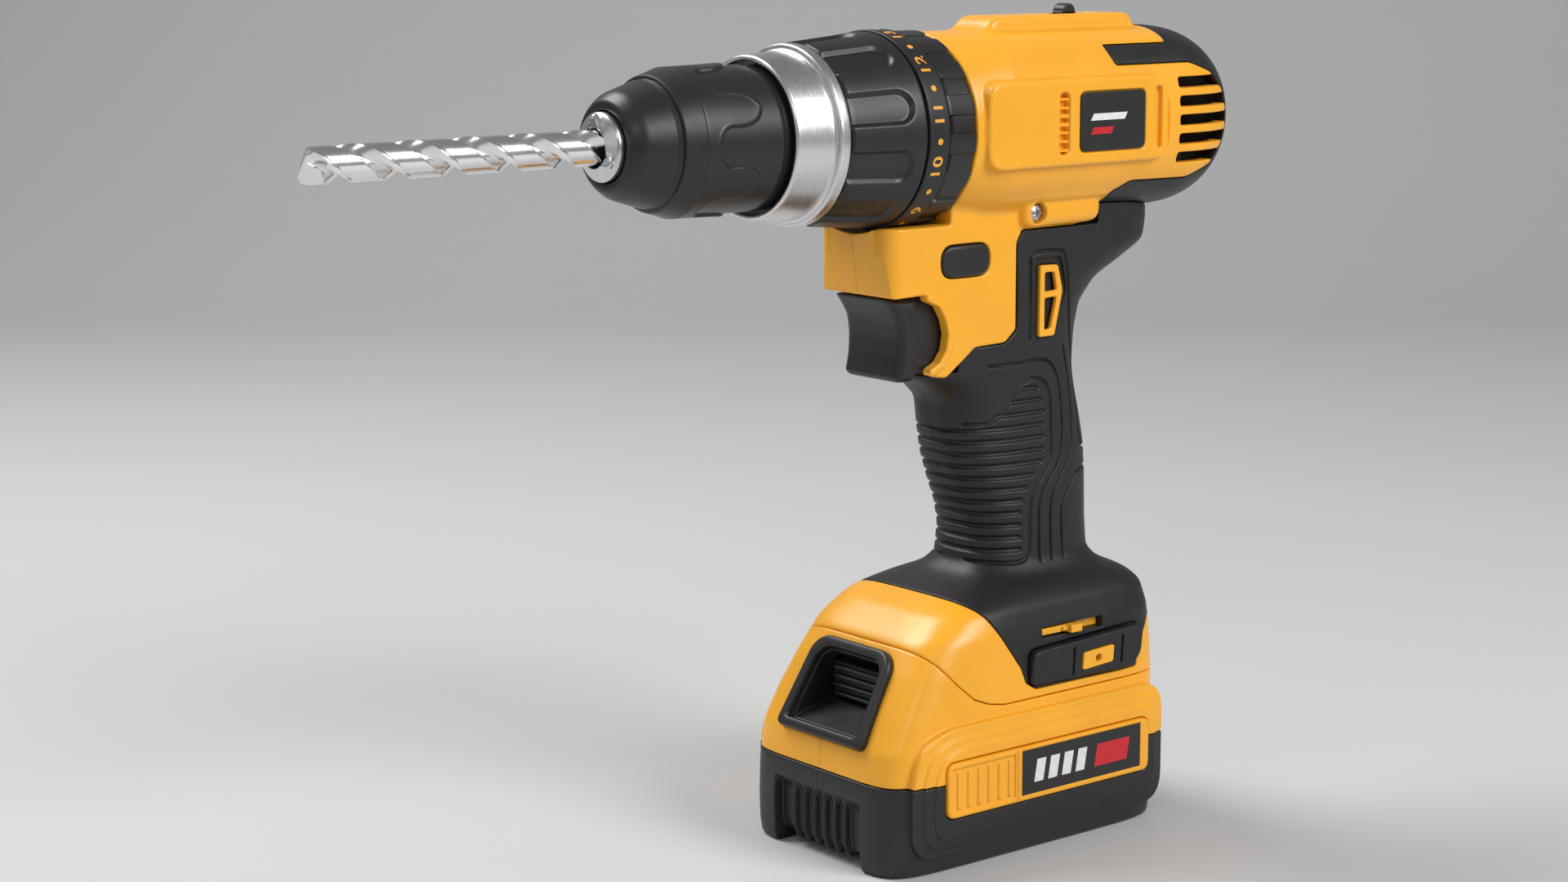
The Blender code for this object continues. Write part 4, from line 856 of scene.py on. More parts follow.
def side_details(field, block):
    """Louvres, badge pocket and slim recess."""
    along, up, width = block.along, block.up, np.abs(block.across)
    louvre = block.side([(31, 10), (35, 10), (35, -8), (31, -8)], 1.9)
    bars = 0.5 - np.abs(np.mod(up + 8.0, 2.45) - 1.225)
    floor = np.where(bars > 0, 28.2, 26.4)
    field = sunk(field, louvre, floor, width)
    badge = block.side(BADGE, 2.4)
    field = sunk(field, badge, 28.1, width)
    slim = block.side([(70.1, 10.4), (72.9, 10.4), (72.9, -8), (70.1, -8)], 1.35)
    return sunk(field, slim, 27.3, width)


def vents_field(block):
    found = None
    for up, end in VENTS:
        corners = [(81.8, up - 1.6), (81.8, up + 1.6), (end, up + 1.6), (end, up - 1.6)]
        slot = block.side(corners, 1.2)
        found = slot if found is None else np.minimum(found, slot)
    return np.maximum(found, 6.0 - np.abs(block.across))


def bore_field(block):
    reach = np.maximum(block.along - 88.0, 0) / 25.0
    ring = np.hypot(block.across, block.up) / 24.6
    return (((reach**2.2 + ring**2.2) ** (1 / 2.2)) - 1.0) * 24.6


def motor_housing_meshes(cell):
    """Right and left yellow halves and the black cap, from one form."""
    found = {}
    for side in (RIGHT, LEFT):
        block = Block((-24.6, -30.4, -73.4), (119.0, 1.0, 32.6), cell)
        along, across, up = block.along, block.across, block.up
        width = np.abs(across)
        base = side_details(housing_field(block), block)
        base = soft_max(base, -bore_field(block), 0.5)
        base = soft_max(base, -vents_field(block), 0.5)
        base = soft_max(base, -np.maximum(np.hypot(across, up) - 28.9, along - 0.2), 0.3)
        rear = block.side(REAR_OUTLINE, 1.2, 3)
        hump_zone = soft_max(up * -1 + 22.0, width - 8.8, 0.5)
        hump_zone = np.maximum(hump_zone, along - 83.0)
        cap_zone = soft_max(rear, -hump_zone, 0.4)
        yellow = soft_max(base, -(cap_zone - 0.12), 0.25)
        button = block.side([(-3.4, -32.8), (15.8, -32.8), (15.8, -42.6), (-3.4, -42.6)], 4.8, 6)
        yellow = soft_max(yellow, -button, 0.5)
        room = block.side(TRIGGER_ROOM)
        yellow = soft_max(yellow, -np.maximum(room, width - 13.5), 0.3)
        slot = np.maximum(np.maximum(49.8 - along, along - 70.2), np.maximum(24 - up, width - 2.6))
        yellow = np.maximum(yellow, -slot)
        if side == RIGHT:
            hole = np.hypot(along - 32.0, up + 25.5)
            yellow = soft_max(yellow, -np.maximum(hole - 3.1, 16.9 - width), 0.4)
        tag = "right" if side == RIGHT else "left"
        half = np.maximum(yellow, across)
        found[f"housing_{tag}"] = block.surface(half, f"housing_shell_{tag}", side, yellow)
        if side == RIGHT:
            cap_block = Block((55.0, -29.4, -31.0), (119.0, 29.4, 29.4), cell)
            cap = barrel_field(cap_block)
            cap = soft_max(cap, -bore_field(cap_block), 0.5)
            rear = cap_block.side(REAR_OUTLINE, 1.2, 3)
            hump = np.maximum(np.abs(cap_block.across) - 8.8, cap_block.along - 83.0)
            hump = np.maximum(22.0 - cap_block.up, hump)
            cap = soft_max(soft_max(cap, rear + 0.12, 0.5), -hump, 0.4)
            found["rear_cap"] = cap_block.surface(cap, "rear_cap_skin")
    return found


# ---------------------------------------------------------------- handle

# Height, front, rear, half width and squareness of the handle, foot and pack
STEM = np.array(
    (
        (-18.0, 20.0, 87.5, 17.0, 3.2),
        (-31.0, 10.0, 88.0, 17.0, 3.2),
        (-37.0, 8.0, 87.0, 17.0, 3.2),
        (-42.5, 6.0, 76.5, 17.0, 3.0),
        (-47.0, 4.5, 66.5, 17.0, 2.9),
        (-54.0, 3.0, 60.4, 16.8, 2.8),
        (-62.0, -1.0, 59.0, 16.5, 2.7),
        (-72.0, -4.0, 58.5, 16.3, 2.7),
        (-75.5, 1.5, 58.6, 16.2, 2.7),
        (-80.0, 6.4, 59.2, 16.2, 2.7),
        (-89.0, 7.5, 61.5, 16.4, 2.7),
        (-97.0, 9.0, 63.0, 16.8, 2.7),
        (-106.0, 12.2, 63.4, 17.0, 2.7),
        (-113.0, 15.2, 63.4, 17.0, 2.7),
        (-120.0, 16.8, 63.4, 17.0, 2.7),
        (-129.5, 16.2, 63.8, 17.4, 2.8),
        (-133.5, 12.0, 66.5, 20.0, 3.2),
        (-136.0, 3.5, 72.5, 25.4, 4.2),
        (-139.5, -8.0, 75.5, 29.0, 5.0),
        (-146.6, -17.1, 76.0, 31.0, 6.0),
        (-156.0, -23.4, 75.6, 32.0, 7.0),
        (-167.0, -29.8, 74.6, 33.2, 8.0),
        (-176.0, -34.6, 74.2, 34.2, 8.0),
        (-187.5, -36.4, 74.0, 34.6, 8.0),
        (-199.0, -36.8, 74.0, 34.6, 8.0),
        (-207.0, -36.6, 73.9, 34.5, 8.0),
        (-212.0, -36.0, 73.5, 34.0, 8.0),
    )
)
SADDLE_EDGE = [
    (-2.5, -134.0), (4.0, -141.0), (9.5, -149.0), (15.0, -157.0), (16.5, -161.5), (20.5, -164.0),
    (62.4, -164.0), (64.5, -157.5), (70.8, -151.0), (90.0, -151.0),
]
PACK_SEAM = [
    (-24.0, -143.6), (-18.0, -149.0), (-10.0, -158.0), (-4.0, -163.2), (1.5, -165.4), (8.0, -166.6),
    (90.0, -166.6),
]


def stem_field(block, softness=1.1):
    """The outer form of handle, foot and pack, its sections blended up its height."""
    heights = np.arange(-216.0, -14.0, 0.25)
    order = STEM[::-1]
    columns = [blurred(np.interp(heights, order[:, 0], order[:, k]), softness / 0.25) for k in range(1, 5)]
    front, rear, half, power = (np.interp(block.up, heights, column).astype(np.float32) for column in columns)
    half_long, middle = (rear - front) / 2, (rear + front) / 2
    ring = superellipse((block.along - middle) / half_long, block.across / half, power)
    return settled((ring - 1.0) * 16.0, block.cell)


def grooves(lines, block, half_width, depth):
    """How deep these side view grooves are at each point of the side view."""
    total = np.zeros(np.broadcast_shapes(block.along.shape, block.up.shape), np.float32)
    for line in lines:
        reach = line_field(line, block.along, block.up) / half_width
        total = np.maximum(total, depth * eased(1.3 - reach))
    return total


RIB_ENDS = np.array(
    (
        (-76.0, 33.0), (-78.0, 37.0), (-84.0, 39.0), (-96.5, 38.4), (-99.7, 38.0), (-102.5, 35.0),
        (-108.7, 31.0), (-112.0, 30.0), (-126.0, 30.0),
    )
)
PAD_EDGE = curved_line(
    [
        (11, -87), (17, -87), (21.5, -84.6), (25.5, -80.2), (29.5, -76), (34.4, -74.7),
        (38.7, -76.6), (40.7, -81), (40.9, -90), (40.7, -98.4), (37.8, -103.4), (34.4, -107.5),
        (32.5, -113), (32.5, -122), (31.8, -127.4), (28.4, -129.6), (16.7, -129.2),
    ]
)
CONTOURS = [
    curved_line(
        [
            (16, -69.5), (24, -69.8), (35, -69.4), (40.5, -70.6), (44.4, -75.5), (45.8, -84),
            (45.6, -94), (43.5, -101), (39, -106.5), (36.2, -112), (35.9, -120), (35.9, -130),
        ]
    ),
    curved_line(
        [
            (47.0, -66), (49.5, -73), (50.8, -83), (50.6, -93), (48.4, -100), (43.9, -106),
            (40.9, -112), (40.6, -120), (40.6, -130),
        ]
    ),
    curved_line(
        [
            (45.4, -130), (45.2, -119), (45.6, -114), (50, -107.5), (53.4, -104.8), (62, -104.4),
        ]
    ),
]
SPINE = curved_line(
    [
        (31.8, -63.1), (31.6, -50), (31.5, -40.4), (33.1, -37.4), (43.3, -37.3), (45.6, -40.1),
        (47.6, -50), (50.2, -61), (53.6, -72), (54.9, -84), (55.4, -95), (58.0, -98.4),
        (62.4, -98.8),
    ]
)
INLAY = [(35.4, -41.3), (42.6, -41.5), (44.6, -49.3), (41.4, -62.6), (35.2, -62.7)]
FOOT_PAD = [(17.5, -162.6), (18.5, -152.5), (64.0, -150.5), (63.0, -160.2), (58.0, -163.4)]
FOOT_BUTTON = [(38.0, -161.0), (38.4, -155.8), (51.0, -155.0), (50.6, -160.2)]


def grip_mesh(side, cell):
    """One half of the overmoulded handle, from the housing down over the foot."""
    block = Block((-12.0, -34.4, -166.6), (90.0, 1.0, -17.2), cell)
    along, across, up = block.along, block.across, block.up
    width = np.abs(across)
    field = stem_field(block)
    end = np.interp(up, RIB_ENDS[::-1, 0], RIB_ENDS[::-1, 1]).astype(np.float32)
    groove = 1.0 - (np.abs(np.mod(up + 77.6 + 1.86, 3.72) - 1.86) - 0.3) / 0.6
    within = eased((end - 0.4 - along) / 0.8) * eased((-76.4 - up) / 0.6) * eased((up + 127.6) / 0.8)
    starts = np.where(up < -88.5, -20.0, np.interp(up, (-88.5, -76.0), (13.0, 30.0))).astype(np.float32)
    within = within * eased((along - starts - 1.0) / 1.0)
    relief = 0.85 * eased(groove) * within
    relief = np.maximum(relief, grooves([PAD_EDGE], block, 0.48, 0.8))
    relief = np.maximum(relief, grooves(CONTOURS, block, 0.46, 0.9) * eased((width - 6.0) / 3.0))
    relief = np.maximum(relief, grooves([SPINE], block, 0.46, 0.9) * eased((width - 6.0) / 3.0))
    side_only = eased((width - 3.0) / 3.0)
    field = field + relief * np.maximum(side_only, within > 0.5)
    region = [(along_, up_ + 0.15) for along_, up_ in SADDLE_EDGE]
    region += [(100, -151), (100, -10), (0, -10), (-14, -60), (-14, -125), (-8, -134)]
    field = soft_max(field, block.side(region), 0.5)
    housing = block.side(LOWER_HOUSING, 0.8, 2)
    field = soft_max(field, -(housing - 0.25), 0.5)
    field = soft_max(field, -barrel_field(block, 0.25), 0.5)
    boss = np.maximum(np.maximum(20 - along, along - 59), -30.4 - up)
    field = soft_max(field, -boss, 0.4)
    room = block.side(TRIGGER_ROOM)
    reach = np.where(up > -70.6, 13.3, 11.0).astype(np.float32)
    field = soft_max(field, -np.maximum(room, width - reach), 0.5)
    pocket = block.side(INLAY, 0.8, 2)
    field = sunk(field, pocket - 0.25, 14.9, width)
    outer = block.side([(33.0, -39.0), (43.9, -39.1), (46.4, -49), (42.9, -65), (33.0, -65)], 1.6)
    field = np.where(width > 10.0, np.maximum(field, -soft_max(outer, 15.7 - width, 0.3)), field)
    if side == RIGHT:
        slot = np.maximum(np.abs(along - 36.5) - 12.5, np.abs(up + 148.1) - 1.5)
        field = sunk(field, slot, 26.4, width, rim=0.4)
        pad = block.side(FOOT_PAD, 2.6)
        field = sunk(field, pad - 0.3, 29.9, width)
    return block.surface(np.maximum(field, across), "handle_skin", side, field)


def foot_mesh(cell):
    """The yellow shell under the saddle."""
    block = Block((-27.6, -34.4, -167.4), (79.0, 34.4, -128.0), cell)
    field = stem_field(block)
    region = [(a, u - 0.15) for a, u in SADDLE_EDGE] + [(a, u + 0.12) for a, u in reversed(PACK_SEAM)]
    region += [(-40.0, -143.6), (-40.0, -128.0), (-8.0, -128.0)]
    field = soft_max(field, block.side(region), 0.45)
    pad = block.side(FOOT_PAD, 2.6)
    pocket = soft_max(pad - 0.3, block.across + 29.9, 0.3)
    return block.surface(soft_max(field, -pocket, 0.3), "foot_shell_skin")


# ---------------------------------------------------------------- battery pack

SPLIT = -185.0
LABEL = [(10.4, -193.5), (59.0, -193.5), (59.0, -180.1), (10.4, -180.1)]
LABEL_MIRROR = 69.4
LABEL_BAR_PITCH = 5.6
WINDOW_AT = (-27.65, -163.1)
WINDOW_HALF = 15.2
FRONT_SLOPE = math.atan2(15.3, 26.2)
RECESS_MIDDLE = -19.0
STEPS = (
    (35.5, -207.0, -169.4, -29.7, 71.0, 9.0),
    (36.3, -204.4, -172.2, -26.2, 69.0, 7.5),
    (37.1, -201.8, -175.2, -22.6, 67.0, 6.0),
)


def pack_field(block):
    """The pack with its side steps, one on another."""
    field = stem_field(block, 0.8)
    field = soft_max(field, -212.0 - block.up, 1.6)
    width = np.abs(block.across)
    for reach, low, high, near, far, radius in STEPS:
        cut, nick = 1.5 * radius, 0.44 * radius
        shoulder = [(near, high - cut), (near + nick, high - nick), (near + cut, high)]
        corners = arced([(near, low), *shoulder, (far, high), (far, low)], radius, 6)
        step = block.side(corners)
        field = soft_min(field, soft_max(step, width - reach, 0.7), 0.5)
    plate_hole = block.side(BADGE_PLATE, 3.0)
    return sunk(field, plate_hole - 0.3, 36.1, width, rim=0.4)


BADGE_PLATE = [(-18.6, -195.4), (-18.6, -179.0), (63.0, -179.0), (63.0, -195.4)]


def window_space(block):
    """Coordinates on the sloping front: up the slope, and outwards."""
    sine, cosine = math.sin(FRONT_SLOPE), math.cos(FRONT_SLOPE)
    along, up = block.along - WINDOW_AT[0], block.up - WINDOW_AT[1]
    return along * sine + up * cosine, -along * cosine + up * sine


def window_field(climb, width, inset):
    """Distance from the window's outline, narrower and rounder at the top."""
    half = np.interp(climb, (-WINDOW_HALF, WINDOW_HALF), (19.6, 17.5)).astype(np.float32) - inset
    radius = np.where(climb > 0, 6.5, 2.4).astype(np.float32) - 0.35 * inset
    a, b = width - (half - radius), np.abs(climb) - (WINDOW_HALF - inset - radius)
    corner = np.hypot(np.maximum(a, 0), np.maximum(b, 0)) - radius
    return np.where((a > 0) & (b > 0), corner, np.maximum(a, b) - radius)


def recess_field(block):
    """The finger recess behind the window."""
    climb, outwards = window_space(block)
    deeper = block.along - RECESS_MIDDLE
    climb = climb - math.sin(FRONT_SLOPE) * np.maximum(deeper, 0)
    hole = np.maximum(window_field(climb, np.abs(block.across), 3.0), outwards - 1.0)
    floor = 0.33 * np.minimum(deeper, 0) - 170.0
    return np.maximum(np.maximum(hole, block.along + 13.2), floor - block.up)


def upper_case_mesh(side, cell):
    block = Block((-40.0, -37.6, -186.4), (79.0, 1.0, -142.0), cell)
    along, across, up = block.along, block.across, block.up
    field = pack_field(block)
    seam = [(a, u - 0.12) for a, u in PACK_SEAM] + [(90.0, SPLIT), (-50.0, SPLIT), (-50.0, -143.6)]
    field = soft_max(field, block.side(seam), 0.45)
    climb, outwards = window_space(block)
    window = window_field(climb, np.abs(across), 0.0)
    field = soft_max(field, -soft_max(window + 0.5, -1.3 - outwards, 0.3), 0.4)
    field = soft_max(field, -recess_field(block), 0.4)
    return block.surface(np.maximum(field, across), "pack_upper_skin", side, field)


def lower_case_mesh(side, cell):
    block = Block((-40.0, -37.6, -213.6), (79.0, 1.0, -183.4), cell)
    along, across, up = block.along, block.across, block.up
    field = soft_max(pack_field(block), up - (SPLIT - 0.2), 0.45)
    width = np.abs(across)
    below = np.maximum(-up - 203.5, 0) / 8.0
    scoop = 2.9 * eased((-190.0 - up) / 5.0) + 2.6 * below**2
    fins = 0.9 * eased((-190.8 - up) / 3.0) + 2.6 * below**2
    fin = eased(1.0 - (np.abs(np.mod(width, 4.6) - 2.3) - 0.35) / 0.7) * (width < 14.2)
    inside = eased((19.6 - width) / 0.6) * (along < -20.0)
    field = field + inside * (scoop + (fins - scoop) * fin)
    return block.surface(np.maximum(field, across), "pack_lower_skin", side, field)


def window_frame_mesh(cell):
    """The raised black frame round the recess, its lip running back a little way."""
    block = Block((-41.0, -20.6, -181.0), (-14.0, 20.6, -146.0), cell)
    climb, outwards = window_space(block)
    width = np.abs(block.across)
    outer = window_field(climb, width, 0.25)
    inner = window_field(climb, width, 3.5)
    ring = soft_max(soft_max(outer, -inner, 0.7), outwards - 2.1, 1.3)
    ring = np.maximum(ring, -1.4 - outwards)
    return block.surface(ring, "window_frame_skin")


def cavity_mesh(cell):
    """The black lining of the finger recess."""
    block = Block((-41.0, -18.0, -178.0), (-14.0, 18.0, -147.0), cell)
    hollow = recess_field(block)
    _, outwards = window_space(block)
    lining = np.maximum(np.maximum(hollow + 0.15, -(hollow + 1.1)), outwards + 0.4)
    return block.surface(lining, "recess_lining")


def latch_mesh(cell):
    """The release button: a curved plate with four gripping ribs."""
    block = Block((-22.4, -13.4, -169.6), (-16.4, 13.4, -156.4), cell)
    along, up, width = block.along, block.up, np.abs(block.across)
    plate_part = np.maximum(width - 12.5, np.abs(up + 163.0) - 5.5)
    plate_part = soft_max(np.maximum(-19.4 - along, along + 17.6), plate_part, 0.6)
    rib = np.abs(np.mod(up + 167.0 + 1.35, 2.7) - 1.35) - 0.5
    rib = np.maximum(rib, np.maximum(np.abs(up + 162.95) - 5.0, width - 10.8))
    rib = soft_max(rib, -21.2 - along, 0.4)
    rib = np.maximum(rib, along + 18.6)
    return block.surface(soft_min(plate_part, rib, 0.3), "latch_skin")


def badge_plate_mesh(side, cell):
    block = Block((-21.0, -38.6, -196.4), (64.0, -35.4, -178.0), cell)
    outline = block.side(BADGE_PLATE, 3.0, 5)
    width = np.abs(block.across)
    field = soft_max(outline, width - 37.95, 1.0)
    area = np.maximum(np.abs(block.up + 187.2) - 6.6, np.abs(block.along + 4.6) - 12.4)
    beside = np.abs(np.mod(block.along + 16.2, 4.0) - 2.0)
    rib = np.hypot(beside, np.maximum(np.abs(block.up + 187.2) - 4.9, 0)) - 0.8
    lowered = soft_max(soft_max(area, 37.3 - width, 0.2), -rib, 0.45)
    field = soft_max(field, -lowered, 0.3)
    label = block.side([(10.2, -193.7), (10.2, -179.9), (59.2, -179.9), (59.2, -193.7)])
    field = sunk(field, label, 37.7, width, 0.1, 0.1)
    divider = np.abs(block.along - 8.6) - 0.25
    field = soft_max(field, -np.maximum(divider, 37.5 - width), 0.2)
    return block.surface(np.maximum(field, 36.25 - width), "badge_plate_skin", side)


# ---------------------------------------------------------------- trigger

TRIGGER = [
    (-20.3, -47.3), (-18.0, -50.2), (-15.6, -54.0), (-14.8, -59.0), (-15.0, -65.0), (-16.2, -70.8),
    (-14.8, -72.0), (-10.0, -72.0), (-9.0, -69.9), (0.5, -69.2), (3.0, -66.0), (3.6, -58.0),
    (1.5, -47.3),
]


def trigger_mesh(cell):
    """The trigger: a finger hollow down its front, and rounded shoulders."""
    block = Block((-22.0, -13.8, -73.0), (5.0, 13.8, -46.4), cell)
    outline = block.side(TRIGGER, 1.6)
    width = np.abs(block.across)
    field = soft_max(outline, width - 13.0, 3.6)
    flank = soft_max(outline, width - 13.0, 1.0)
    share = eased((block.along + 12.0) / 8.0)
    field = field * (1 - share) + flank * share
    return block.surface(field, "trigger_skin")


# ---------------------------------------------------------------- settings


class DrillFinish(bpy.types.PropertyGroup):
    yellow: FloatVectorProperty(
        name="Yellow", description="Colour of the moulded housing, foot and pack", subtype="COLOR", size=3,
        min=0, max=1, default=(0.94, 0.43, 0.024),
    )
    yellow_roughness: FloatProperty(
        name="Yellow roughness", description="How dull the yellow plastic is", default=0.33, min=0.05, max=1,
    )
    black: FloatVectorProperty(
        name="Black", description="Colour of the collars, handle and lower case", subtype="COLOR", size=3,
        min=0, max=1, default=(0.014, 0.014, 0.0145),
    )
    black_roughness: FloatProperty(
        name="Black roughness", description="How dull the black plastic is", default=0.42, min=0.05, max=1,
    )


class DrillDetail(bpy.types.PropertyGroup):
    cell: FloatProperty(
        name="Moulding cell",
        description="Spacing of the samples that a moulding is built from, in millimetres",
        default=0.42, min=0.2, max=2,
    )
    bit_columns: IntProperty(
        name="Bit columns", description="Points round each section of the bit", default=120, min=24, max=360,
    )


class DrillStage(bpy.types.PropertyGroup):
    key: FloatProperty(
        name="Key light", description="Power of the main soft light", subtype="POWER", default=15.0, min=0,
    )
    floor: FloatVectorProperty(
        name="Floor", description="Colour of the floor and backdrop", subtype="COLOR", size=3, min=0, max=1,
        default=(0.62, 0.62, 0.62),
    )


def moulding_cell():
    return bpy.context.scene.drill_detail.cell * 1.0


# ---------------------------------------------------------------- operators


class DRILL_OT_bit(bpy.types.Operator):
    """Build the twist bit"""

    bl_idname = "drill.bit"
    bl_label = "Twist bit"

    def execute(self, context):
        mesh = bit_mesh(context.scene.drill_detail.bit_columns)
        shown("twist_bit", mesh, finishes()["bit"], "bit", "drill_bit", slot="bright_steel")
        return {"FINISHED"}


class DRILL_OT_chuck(bpy.types.Operator):
    """Build the chuck's nose, gripping sleeve and steel ring"""

    bl_idname = "drill.chuck"
    bl_label = "Chuck"

    def execute(self, context):
        look = finishes()
        shown("chuck_nose", nose_mesh(), look["nose"], "spindle_group", "chuck_body", slot="bright_steel")
        shown(
            "chuck_grip_sleeve", sleeve_mesh(), look["collar"],
            "sleeve", "chuck_sleeve", slot="black_plastic",
        )
        shown(
            "chuck_steel_ring", ring_mesh(), look["ring"],
            "spindle_group", "chuck_collar_ring", slot="brushed_ring",
        )
        return {"FINISHED"}


class DRILL_OT_collars(bpy.types.Operator):
    """Build the torque collar, its numbered ring and the mode ring"""

    bl_idname = "drill.collars"
    bl_label = "Collars"

    def execute(self, context):
        look = finishes()
        shown(
            "torque_collar", torque_mesh(), look["collar"],
            "torque_ring", "clutch_collar", slot="black_plastic",
        )
        shown(
            "number_ring_skin", number_ring_mesh(), look["black"],
            "torque_ring", "number_ring", slot="black_plastic",
        )
        shown("torque_numerals", numerals(), look["yellow_mark"], "torque_ring", slot="yellow_housing")
        shown(
            "mode_ring_skin", mode_ring_mesh(), look["collar"],
            "mode_selector", "mode_ring", slot="black_plastic",
        )
        return {"FINISHED"}


class DRILL_OT_housing(bpy.types.Operator):
    """Build the motor housing, rear cap, badges, screw, switch and button"""

    bl_idname = "drill.housing"
    bl_label = "Motor housing"

    def execute(self, context):
        look = finishes()
        meshes = motor_housing_meshes(moulding_cell())
        for node in ("housing_right", "housing_left"):
            shown(meshes[node].name, meshes[node], look["yellow"], "tool", node, slot="yellow_housing")
        shown("rear_cap_skin", meshes["rear_cap"], look["rubber"], "tool", "rear_cap", slot="grip_rubber")
        inset = [(39.35, 9.65), (65.65, 9.65), (65.65, -7.45), (39.35, -7.45)]
        for tag, side in (("right", RIGHT), ("left", LEFT)):
            badge = plate(f"side_badge_{tag}", [arced(inset, 2.1)], 0.7, 0.25, side_frame(side * 28.6))
            shown(badge.name, badge, look["black"], "tool", f"body_badge_{tag}", slot="black_plastic")
            for colour, low, high, near, far in BADGE_BARS:
                bar = [(near, low), (far, low), (far + 1.2, high), (near + 1.2, high)]
                if side == LEFT:
                    bar = [(BADGE_MIRROR - x, y) for x, y in bar]
                mark = plate(f"badge_{colour}_{tag}", [bar], 0.12, 0.03, side_frame(side * 28.98))
                shown(mark.name, mark, look[colour], "tool", slot="black_plastic")
        shown("screw_head", screw_mesh(), look["steel"], "tool", "housing_screw", slot="plain_steel")
        shown("speed_slider", speed_mesh(), look["black"], "speed", "speed_selector", slot="black_plastic")
        shown(
            "reversing_button", button_mesh(), look["black"],
            "direction", "direction_button", slot="black_plastic",
        )
        return {"FINISHED"}


def screw_mesh():
    """A domed cross-head screw."""
    block = Block((28.4, -19.4, -29.2), (35.6, -1.0, -21.8), 0.14)
    radius = np.hypot(block.along - 32.0, block.up + 25.5)
    dome = np.hypot(radius, block.across + 14.6) - 4.25
    head = soft_max(np.maximum(dome, block.across + 16.95), radius - 2.75, 0.4)
    shank = np.maximum(radius - 1.5, np.maximum(-17.2 - block.across, block.across + 1.6))
    a, b = np.abs(block.along - 32.0), np.abs(block.up + 25.5)
    arms = np.minimum(np.maximum(a - 1.7, b - 0.32), np.maximum(b - 1.7, a - 0.32))
    cross = np.maximum(arms, 0.62 * (block.across + 17.3) + 0.5 * (a + b) - 0.2)
    field = soft_max(np.minimum(head, shank), -cross, 0.15)
    return block.surface(field, "screw_head")


def speed_mesh():
    block = Block((56.6, -3.0, 24.8), (63.4, 3.0, 35.2), 0.2)
    a, b, up = np.abs(block.along - 59.9), np.abs(block.across), block.up
    knob = np.hypot(a, np.maximum(up - 31.8, 0)) - 2.5
    knob = soft_max(np.maximum(knob, 31.5 - up), b - 2.35, 0.5)
    grips = np.abs(np.mod(block.along - 59.9 + 0.6, 1.2) - 0.6) - 0.2
    knob = soft_max(knob, -np.maximum(grips, 34.0 - up), 0.2)
    base = soft_max(np.maximum(a - 3.0, np.abs(up - 28.6) - 3.2), b - 2.0, 0.3)
    return block.surface(soft_min(knob, base, 0.3), "speed_slider")


def button_mesh():
    """The reversing button: an oval bar through the housing, crowned at each end."""
    block = Block((-4.0, -18.4, -43.0), (16.4, 18.4, -32.4), 0.3)
    outline = [(-3.1, -33.1), (15.5, -33.1), (15.5, -42.3), (-3.1, -42.3)]
    outline = block.side(outline, 4.6, 8)
    crown = 17.5 - 0.012 * (block.along - 6.2) ** 2
    field = soft_max(outline, np.abs(block.across) - crown, 1.2)
    return block.surface(field, "reversing_button")


class DRILL_OT_trigger(bpy.types.Operator):
    """Build the trigger"""

    bl_idname = "drill.trigger"
    bl_label = "Trigger"

    def execute(self, context):
        mesh = trigger_mesh(0.6 * moulding_cell())
        shown("trigger_skin", mesh, finishes()["black"], "trigger", "trigger", slot="black_plastic")
        return {"FINISHED"}


class DRILL_OT_handle(bpy.types.Operator):
    """Build the overmoulded handle and its yellow inlays"""

    bl_idname = "drill.handle"
    bl_label = "Handle"

    def execute(self, context):
        look = finishes()
        for tag, side in (("right", RIGHT), ("left", LEFT)):
            mesh = grip_mesh(side, 0.86 * moulding_cell())
            mesh.name = f"handle_skin_{tag}"
            shown(mesh.name, mesh, look["rubber"], "tool", f"grip_{tag}", slot="grip_rubber")
            upper = arced([(37.3, -43.5), (41.2, -43.6), (42.3, -49.1), (37.3, -49.3)], 0.8)
            lower = arced([(37.3, -51.2), (42.2, -51.0), (39.8, -60.5), (37.3, -60.7)], 0.8)
            outlines = [arced(INLAY, 0.9), upper, lower]
            inlay = plate(f"inlay_plaque_{tag}", outlines, 1.6, 0.4, side_frame(side * 16.1))
            shown(inlay.name, inlay, look["yellow"], "tool", f"inlay_{tag}", slot="yellow_housing")
        return {"FINISHED"}


class DRILL_OT_foot(bpy.types.Operator):
    """Build the yellow foot shell with its pad, button and slider"""

    bl_idname = "drill.foot"
    bl_label = "Foot"

    def execute(self, context):
        look = finishes()
        shown(
            "foot_shell_skin", foot_mesh(moulding_cell()), look["yellow"],
            "tool", "foot_shell", slot="yellow_housing",
        )
        shown("foot_pad_skin", foot_pad_mesh(), look["rubber"], "tool", "foot_pad", slot="black_plastic")
        middle = [(44.5 + x, -158.2 + y) for x, y in dot_outline(1.2)]
        button = plate("foot_button_skin", [arced(FOOT_BUTTON, 0.9), middle], 3.0, 0.35, side_frame(-33.0))
        shown(button.name, button, look["yellow"], "foot_press", "foot_button", slot="yellow_housing")
        corners = [(24.2, -149.5), (48.8, -149.5), (48.8, -146.7), (24.2, -146.7)]
        floor = plate("slot_floor", [corners], 0.8, 0.1, side_frame(-28.1))
        shown("slot_floor", floor, look["yellow"], "tool", slot="yellow_housing")
        shown(
            "foot_slider_skin", slider_mesh(), look["yellow"],
            "foot_slide", "foot_slider", slot="yellow_housing",
        )
        return {"FINISHED"}


